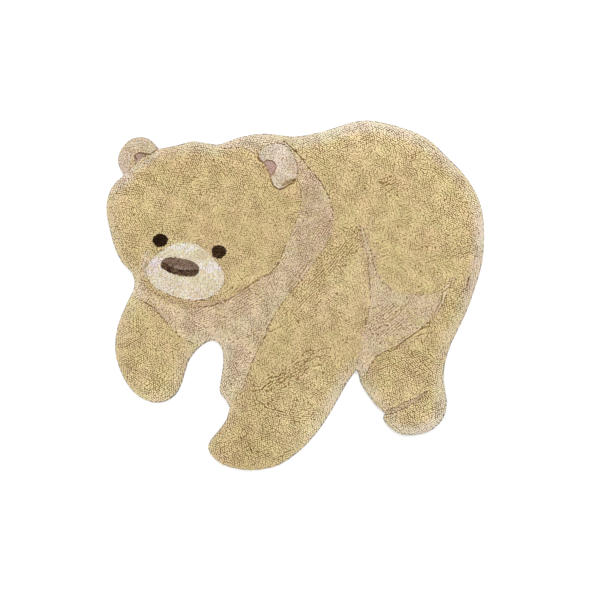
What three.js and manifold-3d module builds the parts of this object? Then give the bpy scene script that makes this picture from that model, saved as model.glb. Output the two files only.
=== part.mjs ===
// A rug for a child's room in the shape of a walking bear, lying flat.
// One piece of hemmed cotton cloth carries fields of cotton pile, each tufted in its own yarn.
// Millimetres, +Z up. The origin is on the surface the rug lies on, under the middle of the rug.
import * as THREE from 'three';
import { mergeVertices } from 'three/addons/utils/BufferGeometryUtils.js';
import Module from 'manifold-3d';

// Driving dimensions of the cloth
const CLOTH_THICKNESS = 3;
const HEM_ROUNDING = 0.7;

// Driving dimensions of the pile
const AIR_GAP = 0.3;
const PILE_FOOT = CLOTH_THICKNESS + AIR_GAP;
const PILE_TOP = 18.5;
const INNER_EAR_TOP = 12.5;

// The pile's gentle lumps: their height, and waves of a length, a share of that height and a skew
const LUMP_HEIGHT = 1.1;
const LUMP_WAVES = [
  { length: 310, share: 0.5, skew: 0.4 },
  { length: 190, share: 0.3, skew: 0 },
  { length: 120, share: 0.2, skew: -1 },
];
const LUMP_GRID = 70;
const LUMP_BLOCK_WIDTH = 1400;

// Grooves carved between the fields, down to the cloth, and creases pressed into the pile
const SLOT_WIDTH = 0.4;
const SEAM_GROOVE = { width: 9, depth: 6 };
const FACE_GROOVE = { width: 5, depth: 4 };
const CREASE_GROOVE = { width: 12, depth: 3.5, above: 2 };
const WIDEST_MITRE = 1.7;

// How the pile rolls outwards at its rim: height above the floor, and distance in from the cloth's edge
const RIM_PROFILE = [
  { height: PILE_FOOT, inset: 5 },
  { height: 9, inset: 3.5 },
  { height: 16, inset: 8.5 },
  { height: 20.5, inset: 24 },
];
const RIM_SHARE_OF_RADIUS = 0.75;
const RIM_EASE = 0.8;

// How closely the flat steps follow a curve, and how far a cutting outline reaches past the rug
const CURVE_TOLERANCE = 0.9;
const SMALL_CURVE_TOLERANCE = 0.6;
const FAR = 900;
const UNDER_FAR_PAW = -430;
const ABOVE_PILE = 24;

// The rug's outline, clockwise from the notch behind the far ear, in mm from the middle of the rug
const OUTLINE = [
  { at: 'ear notch', x: -473, y: 503, corner: true },
  { at: 'brow', x: -414, y: 515 },
  { at: 'crown', x: -349, y: 530 },
  { at: 'dip behind the crown', x: -272, y: 518 },
  { at: 'rise of the nape', x: -190, y: 545 },
  { at: 'nape', x: -104, y: 557 },
  { at: 'hollow before the shoulders', x: -11, y: 546 },
  { at: 'rise of the shoulders', x: 92, y: 563 },
  { at: 'withers', x: 199, y: 597 },
  { at: 'top of the back', x: 251, y: 602 },
  { at: 'back', x: 309, y: 593 },
  { at: 'loin', x: 388, y: 571 },
  { at: 'start of the croup', x: 457, y: 538 },
  { at: 'croup', x: 519, y: 480 },
  { at: 'end of the croup', x: 574, y: 424 },
  { at: 'haunch', x: 619, y: 358 },
  { at: 'above the rump', x: 643, y: 291 },
  { at: 'rump', x: 650, y: 205 },
  { at: 'below the rump', x: 643, y: 115 },
  { at: 'seat', x: 622, y: 38 },
  { at: 'thigh', x: 585, y: -64 },
  { at: 'below the thigh', x: 536, y: -165 },
  { at: 'above the hock', x: 514, y: -236 },
  { at: 'hock', x: 509, y: -300 },
  { at: 'heel', x: 521, y: -367 },
  { at: 'round of the heel', x: 509, y: -422 },
  { at: 'back of the sole', x: 471, y: -462 },
  { at: 'middle of the sole', x: 423, y: -478 },
  { at: 'front of the sole', x: 368, y: -478 },
  { at: 'under the toe', x: 330, y: -456 },
  { at: 'toe', x: 305, y: -423 },
  { at: 'toe crease', x: 313, y: -406, corner: true },
  { at: 'shin', x: 283, y: -381 },
  { at: 'below the knee', x: 251, y: -339 },
  { at: 'knee', x: 226, y: -298 },
  { at: 'above the knee', x: 219, y: -266 },
  { at: 'fork behind the foreleg', x: 210, y: -253, corner: true },
  { at: 'elbow', x: 178, y: -298 },
  { at: 'forearm', x: 116, y: -408 },
  { at: 'back of the wrist', x: 68, y: -477 },
  { at: 'back of the paw', x: 6, y: -541 },
  { at: 'pad', x: -56, y: -582 },
  { at: 'back of the paw sole', x: -121, y: -599 },
  { at: 'front of the paw sole', x: -187, y: -599 },
  { at: 'under the claws', x: -249, y: -582 },
  { at: 'claws', x: -283, y: -556 },
  { at: 'tip of the paw', x: -299, y: -527 },
  { at: 'top of the paw', x: -290, y: -499 },
  { at: 'instep', x: -260, y: -463 },
  { at: 'wrist', x: -235, y: -427 },
  { at: 'corner above the wrist', x: -223, y: -387, corner: true },
  { at: 'far hind sole', x: -237, y: -361 },
  { at: 'far hind toe', x: -258, y: -333 },
  { at: 'far hind shin', x: -252, y: -275 },
  { at: 'far hind knee', x: -246, y: -219 },
  { at: 'far hind thigh', x: -254, y: -176 },
  { at: 'top of the arch', x: -276, y: -154 },
  { at: 'far elbow', x: -304, y: -158 },
  { at: 'far forearm', x: -344, y: -189 },
  { at: 'far wrist', x: -373, y: -231 },
  { at: 'back of the far paw', x: -393, y: -298 },
  { at: 'far heel', x: -416, y: -343 },
  { at: 'far sole', x: -452, y: -365 },
  { at: 'front of the far sole', x: -493, y: -367 },
  { at: 'far claws', x: -540, y: -346 },
  { at: 'top of the far paw', x: -578, y: -305 },
  { at: 'far instep', x: -607, y: -246 },
  { at: 'front of the far foreleg', x: -620, y: -181 },
  { at: 'far upper arm', x: -611, y: -105 },
  { at: 'far shoulder', x: -580, y: -28 },
  { at: 'throat', x: -553, y: 35 },
  { at: 'jaw', x: -562, y: 80 },
  { at: 'cheek', x: -597, y: 116 },
  { at: 'above the cheek', x: -622, y: 169 },
  { at: 'temple', x: -640, y: 236 },
  { at: 'side of the head', x: -650, y: 304 },
  { at: 'top of the temple', x: -641, y: 353 },
  { at: 'below the ear', x: -619, y: 390 },
  { at: 'lower ear notch', x: -588, y: 417, corner: true },
  { at: 'ear low', x: -605, y: 443 },
  { at: 'ear front', x: -610, y: 474 },
  { at: 'ear shoulder', x: -598, y: 506 },
  { at: 'ear top front', x: -574, y: 533 },
  { at: 'ear top', x: -542, y: 545 },
  { at: 'ear top back', x: -509, y: 539 },
  { at: 'ear back', x: -488, y: 522 },
];

// Lines between fields. The first and last rows of an open line lie past the rug's edge.
const HEAD_LINE = [
  { at: 'past the nape', x: -304, y: 560, corner: true },
  { at: 'nape', x: -288, y: 516 },
  { at: 'over the brow', x: -232, y: 507 },
  { at: 'ear root', x: -176, y: 508 },
  { at: 'under the ear', x: -87, y: 456 },
  { at: 'behind the ear', x: 4, y: 401 },
  { at: 'side of the neck', x: 22, y: 350 },
  { at: 'cheek top', x: 16, y: 298 },
  { at: 'cheek', x: -8, y: 232 },
  { at: 'cheek low', x: -35, y: 164 },
  { at: 'jaw back', x: -63, y: 106 },
  { at: 'jaw', x: -125, y: 52 },
  { at: 'jaw front', x: -197, y: 8 },
  { at: 'chin back', x: -263, y: -27 },
  { at: 'chin', x: -320, y: -38 },
  { at: 'chin front', x: -378, y: -35 },
  { at: 'chin rising', x: -432, y: -19 },
  { at: 'lip', x: -482, y: 9 },
  { at: 'lip corner', x: -530, y: 43 },
  { at: 'past the throat', x: -590, y: 72, corner: true },
];
const SHOULDER_LINE = [
  { at: 'past the nape', x: -66, y: 588, corner: true },
  { at: 'nape', x: -42, y: 534 },
  { at: 'neck top', x: 3, y: 498 },
  { at: 'neck', x: 37, y: 453 },
  { at: 'shoulder top', x: 92, y: 384 },
  { at: 'shoulder', x: 123, y: 319 },
  { at: 'shoulder point', x: 132, y: 257 },
  { at: 'shoulder low', x: 116, y: 191 },
  { at: 'chest top', x: 68, y: 122 },
  { at: 'chest', x: 23, y: 60 },
  { at: 'chest low', x: -18, y: 10 },
  { at: 'upper arm', x: -63, y: -53 },
  { at: 'arm', x: -101, y: -126 },
  { at: 'forearm top', x: -135, y: -201 },
  { at: 'forearm', x: -170, y: -284 },
  { at: 'wrist', x: -194, y: -348 },
  { at: 'past the wrist', x: -262, y: -401, corner: true },
];
const FAR_FORELEG_LINE = [
  { at: 'past the far shoulder', x: -600, y: 17, corner: true },
  { at: 'far shoulder', x: -559, y: -3 },
  { at: 'top of the arm', x: -517, y: -22 },
  { at: 'arm', x: -483, y: -45 },
  { at: 'inside of the arm', x: -449, y: -84 },
  { at: 'inner elbow', x: -414, y: -122 },
  { at: 'near the arch', x: -380, y: -152 },
  { at: 'arch', x: -335, y: -167 },
  { at: 'past the arch', x: -287, y: -190, corner: true },
];
const FAR_EAR_LINE = [
  { at: 'past the ear notch', x: -466, y: 522, corner: true },
  { at: 'ear notch', x: -475, y: 499 },
  { at: 'back of the ear', x: -495, y: 486 },
  { at: 'inner ear', x: -520, y: 480 },
  { at: 'under the inner ear', x: -545, y: 460 },
  { at: 'front of the ear', x: -567, y: 437 },
  { at: 'lower ear notch', x: -588, y: 418 },
  { at: 'past the lower notch', x: -612, y: 421, corner: true },
];
const FAR_INNER_EAR_LINE = [
  { at: 'past the head line', x: -508, y: 474, corner: true },
  { at: 'back', x: -521, y: 489 },
  { at: 'top', x: -539, y: 493 },
  { at: 'front', x: -553, y: 481 },
  { at: 'low', x: -554, y: 464 },
  { at: 'past the tip', x: -542, y: 446, corner: true },
];
const NEAR_EAR_LINE = [
  { at: 'root', x: -127, y: 496, corner: true },
  { at: 'top front', x: -108, y: 512 },
  { at: 'top', x: -80, y: 521 },
  { at: 'top back', x: -50, y: 522 },
  { at: 'shoulder', x: -24, y: 511 },
  { at: 'back high', x: -6, y: 484 },
  { at: 'back', x: 5, y: 448 },
  { at: 'back low', x: 3, y: 412 },
  { at: 'lobe back', x: -14, y: 389 },
  { at: 'lobe', x: -38, y: 373 },
  { at: 'tip', x: -60, y: 367 },
  { at: 'lobe front', x: -77, y: 378 },
  { at: 'front low', x: -85, y: 410 },
  { at: 'front', x: -104, y: 450 },
  { at: 'front high', x: -120, y: 470 },
];
const NEAR_INNER_EAR_LINE = [
  { at: 'past the front', x: -116, y: 458, corner: true },
  { at: 'top front', x: -99, y: 466 },
  { at: 'top', x: -80, y: 466 },
  { at: 'back', x: -65, y: 451 },
  { at: 'low', x: -70, y: 424 },
  { at: 'past the tip', x: -92, y: 404, corner: true },
];
const MUZZLE_LINE = [
  { at: 'left tip', x: -517, y: 96, corner: true },
  { at: 'left cheek', x: -497, y: 126 },
  { at: 'under the left eye', x: -474, y: 148 },
  { at: 'brow of the muzzle', x: -436, y: 168 },
  { at: 'top left', x: -404, y: 182 },
  { at: 'top', x: -366, y: 183 },
  { at: 'top right', x: -332, y: 174 },
  { at: 'beside the right eye', x: -300, y: 149 },
  { at: 'under the right eye', x: -273, y: 117 },
  { at: 'right cheek', x: -249, y: 84 },
  { at: 'right side', x: -245, y: 45 },
  { at: 'right low', x: -266, y: 12 },
  { at: 'right chin', x: -300, y: -8 },
  { at: 'chin', x: -345, y: -16 },
  { at: 'chin front', x: -392, y: -10 },
  { at: 'left chin', x: -438, y: 4 },
  { at: 'left low', x: -479, y: 25 },
  { at: 'left side', x: -507, y: 57 },
];
const FLANK_LINE = [
  { at: 'top front', x: 221, y: 240, corner: true },
  { at: 'top back', x: 229, y: 238, corner: true },
  { at: 'neck of the field', x: 249, y: 186 },
  { at: 'widening', x: 266, y: 122 },
  { at: 'inner bend', x: 296, y: 52 },
  { at: 'belly', x: 350, y: 15 },
  { at: 'belly back', x: 430, y: 2 },
  { at: 'before the tip', x: 488, y: 11 },
  { at: 'rising', x: 519, y: 34 },
  { at: 'tip above', x: 548, y: 65, corner: true },
  { at: 'tip below', x: 555, y: 57, corner: true },
  { at: 'below the tip', x: 524, y: 12 },
  { at: 'thigh top', x: 508, y: -28 },
  { at: 'thigh', x: 483, y: -62 },
  { at: 'thigh middle', x: 436, y: -110 },
  { at: 'thigh low', x: 371, y: -162 },
  { at: 'step', x: 322, y: -188, corner: true },
  { at: 'after the step', x: 284, y: -206 },
  { at: 'above the fork', x: 260, y: -238 },
  { at: 'fork side', x: 246, y: -268 },
  { at: 'past the shin', x: 218, y: -286, corner: true },
  { at: 'past the fork', x: 209, y: -266, corner: true },
  { at: 'fork', x: 212, y: -240 },
  { at: 'front low', x: 221, y: -195 },
  { at: 'front', x: 238, y: -110 },
  { at: 'front middle', x: 256, y: -20 },
  { at: 'front high', x: 255, y: 80 },
  { at: 'front top', x: 240, y: 174 },
];
const FOOT_LINE = [
  { at: 'past the toe crease above', x: 288, y: -398, corner: true },
  { at: 'upper front', x: 332, y: -388 },
  { at: 'upper middle', x: 366, y: -370 },
  { at: 'upper back', x: 412, y: -353 },
  { at: 'tip above', x: 450, y: -329, corner: true },
  { at: 'tip below', x: 453, y: -337, corner: true },
  { at: 'lower back', x: 420, y: -362 },
  { at: 'lower middle', x: 380, y: -385 },
  { at: 'lower front', x: 340, y: -403 },
  { at: 'past the toe crease below', x: 292, y: -418, corner: true },
];
const RUMP_LINE = [
  { at: 'past the top', x: 690, y: 276, corner: true },
  { at: 'top', x: 641, y: 257, corner: true },
  { at: 'high', x: 630, y: 210 },
  { at: 'middle', x: 625, y: 155 },
  { at: 'low', x: 612, y: 105 },
  { at: 'end', x: 588, y: 22, corner: true },
  { at: 'past the end', x: 655, y: -8, corner: true },
];

// Creases in the pile, which fade out at both ends
const CREASES = {
  overTheShoulder: [
    { x: 132, y: 378 },
    { x: 171, y: 336 },
    { x: 202, y: 281 },
    { x: 219, y: 250 },
  ],
  underTheChin: [
    { x: -486, y: -14 },
    { x: -440, y: -38 },
    { x: -386, y: -53 },
    { x: -330, y: -60 },
    { x: -285, y: -49 },
  ],
  acrossTheForearm: [
    { x: -160, y: -328 },
    { x: -115, y: -320 },
    { x: -49, y: -291 },
    { x: 16, y: -246 },
    { x: 133, y: -152 },
  ],
  alongTheForearm: [
    { x: -140, y: -232 },
    { x: -93, y: -122 },
    { x: -45, y: -40 },
    { x: 16, y: 32 },
    { x: 60, y: 84 },
  ],
  acrossTheFlank: [
    { x: 290, y: -118 },
    { x: 333, y: -74 },
    { x: 378, y: -33 },
  ],
  downThePaw: [
    { x: -176, y: -440 },
    { x: -162, y: -500 },
    { x: -146, y: -560 },
  ],
};

// Features of the face given by a middle and half sizes
const EYES = {
  eye_left: { x: -465, y: 190, halfWidth: 26, halfHeight: 22.5, turn: 0.15 },
  eye_right: { x: -263, y: 151, halfWidth: 26, halfHeight: 23, turn: 0.1 },
};
const EYE_UNEVENNESS = { reach: 0.035, waves: 3 };
const EYE_STEPS = 18;
const NOSE_STEPS = 28;
const NOSE = { x: -397, y: 99, halfWidth: 67, halfHeight: 29, turn: -0.2, squareness: 2.5 };
const NOSE_SPLIT = [
  { at: 'past the left end', x: -480, y: 122, corner: true },
  { at: 'left', x: -448, y: 110 },
  { at: 'left middle', x: -420, y: 94 },
  { at: 'middle', x: -388, y: 87 },
  { at: 'right', x: -352, y: 87 },
  { at: 'past the right end', x: -312, y: 94, corner: true },
];

// Colour, roughness and metalness of each yarn
const YARNS = {
  cloth: { color: 0xb7a48d, roughness: 0.95, metalness: 0 },
  honey: { color: 0xc9b282, roughness: 0.97, metalness: 0 },
  rose: { color: 0xc3ac88, roughness: 0.97, metalness: 0 },
  pale: { color: 0xcdbb9d, roughness: 0.97, metalness: 0 },
  mauve: { color: 0xba9b8e, roughness: 0.95, metalness: 0 },
  cream: { color: 0xdccfb8, roughness: 0.97, metalness: 0 },
  brown: { color: 0x7c6657, roughness: 0.95, metalness: 0 },
  darkBrown: { color: 0x4c3829, roughness: 0.95, metalness: 0 },
  nearBlack: { color: 0x35251a, roughness: 0.95, metalness: 0 },
};

const wasm = await Module();
wasm.setup();

// A closed body from a geometry
function solidOf(geometry) {
  geometry.deleteAttribute('normal');
  geometry.deleteAttribute('uv');
  const merged = mergeVertices(geometry);
  return new wasm.Manifold(new wasm.Mesh({
    numProp: 3,
    vertProperties: new Float32Array(merged.attributes.position.array),
    triVerts: new Uint32Array(merged.index.array),
  }));
}

function geometryOf(solid) {
  const mesh = solid.getMesh();
  const geometry = new THREE.BufferGeometry();
  geometry.setAttribute('position', new THREE.BufferAttribute(mesh.vertProperties, mesh.numProp));
  geometry.setIndex(new THREE.BufferAttribute(mesh.triVerts, 1));
  geometry.computeVertexNormals();
  return geometry;
}

// Points on a curve between two of its parameters, halved until each step lies within the tolerance
function stepsBetween(curve, from, to, tolerance) {
  const start = curve.getPoint(from);
  const end = curve.getPoint(to);
  const chord = new THREE.Line3(start, end);
  const middle = (from + to) / 2;
  const nearest = new THREE.Vector3();
  const point = curve.getPoint(middle);
  chord.closestPointToPoint(point, true, nearest);
  if (point.distanceTo(nearest) <= tolerance) {
    return [start];
  }
  return [
    ...stepsBetween(curve, from, middle, tolerance),
    ...stepsBetween(curve, middle, to, tolerance),
  ];
}

// A smooth curve through a run of rows, as flat points without the last one
function smoothRun(rows, tolerance) {
  const curve = new THREE.CatmullRomCurve3(
    rows.map((row) => new THREE.Vector3(row.x, row.y, 0)), false, 'centripetal');
  const spans = rows.length - 1;
  const points = [];
  for (let span = 0; span < spans; span += 1) {
    points.push(...stepsBetween(curve, span / spans, (span + 1) / spans, tolerance));
  }
  return points;
}

// The flat points of a table of rows, smooth but for its corners. The first row is a corner.
function pathOf(rows, closed, tolerance = CURVE_TOLERANCE) {
  const loop = closed ? [...rows, rows[0]] : rows;
  const points = [];
  let run = [loop[0]];
  for (const row of loop.slice(1)) {
    run.push(row);
    if (row.corner) {
      points.push(...smoothRun(run, tolerance));
      run = [row];
    }
  }
  if (!closed) {
    const last = loop[loop.length - 1];
    points.push(new THREE.Vector3(last.x, last.y, 0));
  }
  return points.map((point) => new THREE.Vector2(point.x, point.y));
}

// A closed rounded outline from a middle, half sizes, a turn and a small unevenness
const EVEN = { reach: 0, waves: 0 };

function roundOutline({ x, y, halfWidth, halfHeight, turn, squareness = 2 }, steps, uneven = EVEN) {
  const power = 2 / squareness;
  const points = [];
  for (let step = 0; step < steps; step += 1) {
    const angle = (step / steps) * Math.PI * 2;
    const cosine = Math.cos(angle);
    const sine = Math.sin(angle);
    const reach = 1 + uneven.reach * Math.sin(uneven.waves * angle + x);
    const point = new THREE.Vector2(
      Math.sign(cosine) * Math.abs(cosine) ** power * halfWidth * reach,
      Math.sign(sine) * Math.abs(sine) ** power * halfHeight * reach);
    points.push(point.rotateAround(new THREE.Vector2(), turn).add(new THREE.Vector2(x, y)));
  }
  return points;
}

function counterclockwise(points) {
  return THREE.ShapeUtils.isClockWise(points) ? [...points].reverse() : points;
}

// For each point of a path, the unit vector to its left and how much a mitre lengthens it
function sideways(points, closed) {
  const count = points.length;
  return points.map((point, index) => {
    const before = points[closed ? (index - 1 + count) % count : Math.max(index - 1, 0)];
    const after = points[closed ? (index + 1) % count : Math.min(index + 1, count - 1)];
    const arriving = point.clone().sub(before).normalize();
    const leaving = after.clone().sub(point).normalize();
    const along = arriving.clone().add(leaving).normalize();
    const straight = arriving.lengthSq() * leaving.lengthSq() > 0;
    const halfTurn = straight ? arriving.angleTo(leaving) / 2 : 0;
    const mitre = Math.min(1 / Math.cos(halfTurn), WIDEST_MITRE);
    return { left: new THREE.Vector2(-along.y, along.x), mitre };
  });
}

// How far in the rim may reach at each point of a counterclockwise outline: less on a tight bend
function rimLimits(points) {
  const count = points.length;
  const lengths = points.map((point, index) => point.distanceTo(points[(index + 1) % count]));
  const own = points.map((point, index) => {
    const before = points[(index - 1 + count) % count];
    const after = points[(index + 1) % count];
    const arriving = point.clone().sub(before);
    const leaving = after.clone().sub(point);
    const turn = Math.atan2(arriving.cross(leaving), arriving.dot(leaving));
    const radius = (arriving.length() + leaving.length()) / 2 / Math.max(turn, 1e-3);
    return radius * RIM_SHARE_OF_RADIUS;
  });
  const eased = [...own];
  for (let pass = 0; pass < 2 * count; pass += 1) {
    const here = pass % count;
    const next = (here + 1) % count;
    eased[next] = Math.min(eased[next], eased[here] + lengths[here] * RIM_EASE);
  }
  for (let pass = 2 * count; pass > 0; pass -= 1) {
    const here = pass % count;
    const before = (here - 1 + count) % count;
    eased[before] = Math.min(eased[before], eased[here] + lengths[before] * RIM_EASE);
  }
  return eased;
}

// A body stacked from one outline, drawn in by each level's inset at that level's height
function stackedSolid(outline, levels) {
  const points = counterclockwise(outline);
  const count = points.length;
  const sides = sideways(points, true);
  const limits = rimLimits(points);
  const rings = levels.map(({ inset }) => points.map((point, index) => {
    const reach = Math.min(inset, limits[index]);
    return point.clone().addScaledVector(sides[index].left, reach);
  }));
  const positions = rings.flatMap((ring, level) => (
    ring.flatMap((point) => [point.x, point.y, levels[level].height])));
  const faces = [];
  for (let level = 0; level < levels.length - 1; level += 1) {
    for (let index = 0; index < count; index += 1) {
      const a = level * count + index;
      const b = level * count + ((index + 1) % count);
      faces.push(a, b, b + count, a, b + count, a + count);
    }
  }
  const top = (levels.length - 1) * count;
  for (const [a, b, c] of THREE.ShapeUtils.triangulateShape(rings[0], [])) {
    faces.push(a, c, b);
  }
  for (const [a, b, c] of THREE.ShapeUtils.triangulateShape(rings[levels.length - 1], [])) {
    faces.push(top + a, top + b, top + c);
  }
  const geometry = new THREE.BufferGeometry();
  geometry.setAttribute('position', new THREE.Float32BufferAttribute(positions, 3));
  geometry.setIndex(faces);
  return solidOf(geometry);
}

// A straight-sided body over an outline, used to part one field from the rest
function prism(outline, height = ABOVE_PILE) {
  const geometry = new THREE.ExtrudeGeometry(new THREE.Shape(outline), {
    depth: height,
    bevelEnabled: false,
  });
  return solidOf(geometry);
}

// A cutter of the same section all along a path. The section's rows run counterclockwise as seen
// looking back along the path: distance to the left, and height. Its size may fade at the ends.
function sweptCutter(points, closed, section) {
  const sides = sideways(points, closed);
  const positions = [];
  points.forEach((point, index) => {
    const { left, mitre } = sides[index];
    const share = points.length > 1 ? index / (points.length - 1) : 0;
    for (const { across, height } of section(closed ? 0.5 : share)) {
      positions.push(point.x + left.x * across * mitre, point.y + left.y * across * mitre, height);
    }
  });
  const corners = section(0.5).length;
  const steps = closed ? points.length : points.length - 1;
  const faces = [];
  for (let step = 0; step < steps; step += 1) {
    const here = step * corners;
    const there = ((step + 1) % points.length) * corners;
    for (let corner = 0; corner < corners; corner += 1) {
      const next = (corner + 1) % corners;
      faces.push(here + corner, there + next, there + corner);
      faces.push(here + corner, here + next, there + next);
    }
  }
  if (!closed) {
    const end = steps * corners;
    for (let corner = 1; corner < corners - 1; corner += 1) {
      faces.push(0, corner + 1, corner);
      faces.push(end, end + corner, end + corner + 1);
    }
  }
  const geometry = new THREE.BufferGeometry();
  geometry.setAttribute('position', new THREE.Float32BufferAttribute(positions, 3));
  geometry.setIndex(faces);
  return solidOf(geometry);
}

// The carved line between two fields: a V at the top of the pile over a slot down to the cloth.
// The V and the slot are two cutters, because a swept section has to be convex at its ends.
function carvedLine(points, closed, groove) {
  const halfSlot = SLOT_WIDTH / 2;
  const bottom = PILE_TOP - groove.depth;
  const spread = (groove.width / 2 - halfSlot) / groove.depth;
  const slot = sweptCutter(points, closed, () => [
    { across: halfSlot, height: CLOTH_THICKNESS },
    { across: halfSlot, height: ABOVE_PILE },
    { across: -halfSlot, height: ABOVE_PILE },
    { across: -halfSlot, height: CLOTH_THICKNESS },
  ]);
  const reach = (ABOVE_PILE - bottom) * spread;
  const valley = sweptCutter(points, closed, () => [
    { across: 0, height: bottom },
    { across: reach, height: ABOVE_PILE },
    { across: -reach, height: ABOVE_PILE },
  ]);
  return slot.add(valley);
}

// A soft crease that fades out at both ends
function crease(rows) {
  const points = pathOf(rows.map((row, index) => (
    { ...row, corner: index === 0 || index === rows.length - 1 })), false);
  const { width, depth, above } = CREASE_GROOVE;
  const top = PILE_TOP + above;
  return sweptCutter(points, false, (share) => {
    const fade = Math.max(Math.sin(Math.PI * share), 0.1);
    const bottom = top - (depth + above) * fade;
    const reach = ((top - bottom) * width) / 2 / depth;
    return [
      { across: 0, height: bottom },
      { across: reach, height: top },
      { across: -reach, height: top },
    ];
  });
}

// Height of the pile's gentle lumps above or below its mean
function lumpAt(x, y) {
  let sum = 0;
  for (const { length, share, skew } of LUMP_WAVES) {
    const scale = (Math.PI * 2) / length;
    sum += share * Math.sin(scale * (x + skew * y) + length) * Math.sin(scale * (y - skew * x));
  }
  return LUMP_HEIGHT * sum;
}

// A block with the pile's lumpy top
function lumpyBlock() {
  const width = LUMP_BLOCK_WIDTH;
  const steps = Math.round(width / LUMP_GRID);
  const geometry = new THREE.BoxGeometry(width, width, PILE_TOP, steps, steps, 1);
  geometry.translate(0, 0, PILE_TOP / 2);
  const position = geometry.attributes.position;
  for (let index = 0; index < position.count; index += 1) {
    if (position.getZ(index) > PILE_TOP / 2) {
      position.setZ(index, PILE_TOP + lumpAt(position.getX(index), position.getY(index)));
    }
  }
  return solidOf(geometry);
}

// The pile as one body, from which each field is taken in turn
let remaining = stackedSolid(pathOf(OUTLINE, true), RIM_PROFILE).intersect(lumpyBlock());
for (const rows of Object.values(CREASES)) {
  remaining = remaining.subtract(crease(rows));
}

// Takes from a body what lies over an outline, with a carved line between. Returns both.
function part(body, outline, cutter) {
  const carved = body.subtract(cutter);
  const region = prism(outline);
  return { taken: carved.intersect(region), left: carved.subtract(region) };
}

function takeFrom(body, rows, groove, tolerance) {
  const points = pathOf(rows, true, tolerance);
  return part(body, points, carvedLine(points, true, groove));
}

// Takes what lies on one side of an open line, closed by corners well past the rug
function takeBeyond(body, rows, cornersOf, groove, tolerance) {
  const points = pathOf(rows, false, tolerance);
  const corners = cornersOf(rows[0], rows[rows.length - 1]);
  const outline = [...points, ...corners.map(([x, y]) => new THREE.Vector2(x, y))];
  return part(body, outline, carvedLine(points, false, groove));
}

const straightBack = () => [];
const overTheTop = (first, last) => [[last.x, FAR], [first.x, FAR]];
const upperLeft = (first, last) => [[-FAR, last.y], [-FAR, FAR], [first.x, FAR]];
const lowerLeft = (first, last) => (
  [[last.x, UNDER_FAR_PAW], [-FAR, UNDER_FAR_PAW], [-FAR, first.y]]);

const fields = {};

function keep(name, yarn, { taken, left }) {
  fields[name] = { solid: taken, yarn };
  remaining = left;
}

// Face
const noseOutline = roundOutline(NOSE, NOSE_STEPS);
const nose = part(remaining, noseOutline, carvedLine(noseOutline, true, FACE_GROOVE));
remaining = nose.left;
const noseHalves = takeBeyond(
  nose.taken, NOSE_SPLIT, overTheTop, FACE_GROOVE, SMALL_CURVE_TOLERANCE);
fields.nose_top = { solid: noseHalves.taken, yarn: 'brown' };
fields.nose_lower = { solid: noseHalves.left, yarn: 'darkBrown' };
for (const [name, eye] of Object.entries(EYES)) {
  const outline = roundOutline(eye, EYE_STEPS, EYE_UNEVENNESS);
  keep(name, 'nearBlack', part(remaining, outline, carvedLine(outline, true, FACE_GROOVE)));
}
keep('muzzle', 'cream', takeFrom(remaining, MUZZLE_LINE, FACE_GROOVE, SMALL_CURVE_TOLERANCE));

// Ears, whose inner patches have a shorter pile
function shortened(solid) {
  const floorArea = [[-FAR, -FAR], [FAR, -FAR], [FAR, FAR], [-FAR, FAR]];
  return solid.intersect(prism(floorArea.map(([x, y]) => new THREE.Vector2(x, y)), INNER_EAR_TOP));
}

keep('ear_near', 'pale', takeFrom(remaining, NEAR_EAR_LINE, SEAM_GROOVE, SMALL_CURVE_TOLERANCE));
const nearInner = takeBeyond(
  fields.ear_near.solid, NEAR_INNER_EAR_LINE, straightBack, FACE_GROOVE, SMALL_CURVE_TOLERANCE);
fields.ear_near.solid = nearInner.left;
fields.inner_ear_near = { solid: shortened(nearInner.taken), yarn: 'mauve' };

keep('ear_far', 'pale', takeBeyond(
  remaining, FAR_EAR_LINE, upperLeft, SEAM_GROOVE, SMALL_CURVE_TOLERANCE));
const farInner = takeBeyond(
  fields.ear_far.solid, FAR_INNER_EAR_LINE, straightBack, FACE_GROOVE, SMALL_CURVE_TOLERANCE);
fields.ear_far.solid = farInner.left;
fields.inner_ear_far = { solid: shortened(farInner.taken), yarn: 'mauve' };

// Coat
keep('pile_head', 'honey', takeBeyond(remaining, HEAD_LINE, upperLeft, SEAM_GROOVE));
keep('pile_far_foreleg', 'honey', takeBeyond(remaining, FAR_FORELEG_LINE, lowerLeft, SEAM_GROOVE));
keep('pile_flank', 'rose', takeFrom(remaining, FLANK_LINE, SEAM_GROOVE));
keep('pile_foot_line', 'rose', takeFrom(remaining, FOOT_LINE, FACE_GROOVE));
keep('pile_rump_strip', 'rose', takeFrom(remaining, RUMP_LINE, FACE_GROOVE));
keep('pile_neck', 'rose', takeBeyond(remaining, SHOULDER_LINE, upperLeft, SEAM_GROOVE));
fields.pile_body = { solid: remaining, yarn: 'honey' };

// Cloth with its hemmed edge rounded over
const cloth = stackedSolid(pathOf(OUTLINE, true), [
  { height: 0, inset: HEM_ROUNDING },
  { height: CLOTH_THICKNESS / 2, inset: 0 },
  { height: CLOTH_THICKNESS, inset: HEM_ROUNDING },
]);

function mesh(name, solid, yarn) {
  const item = new THREE.Mesh(geometryOf(solid), new THREE.MeshStandardMaterial(YARNS[yarn]));
  item.name = name;
  return item;
}

const rug = new THREE.Group();
rug.add(mesh('base_cloth', cloth, 'cloth'));
for (const [name, { solid, yarn }] of Object.entries(fields)) {
  rug.add(mesh(name, solid, yarn));
}

// The rug's middle stands on the origin
const extent = new THREE.Box3().setFromObject(rug);
const middle = extent.getCenter(new THREE.Vector3());
rug.position.set(-middle.x, -middle.y, 0);

export default rug;
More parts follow.
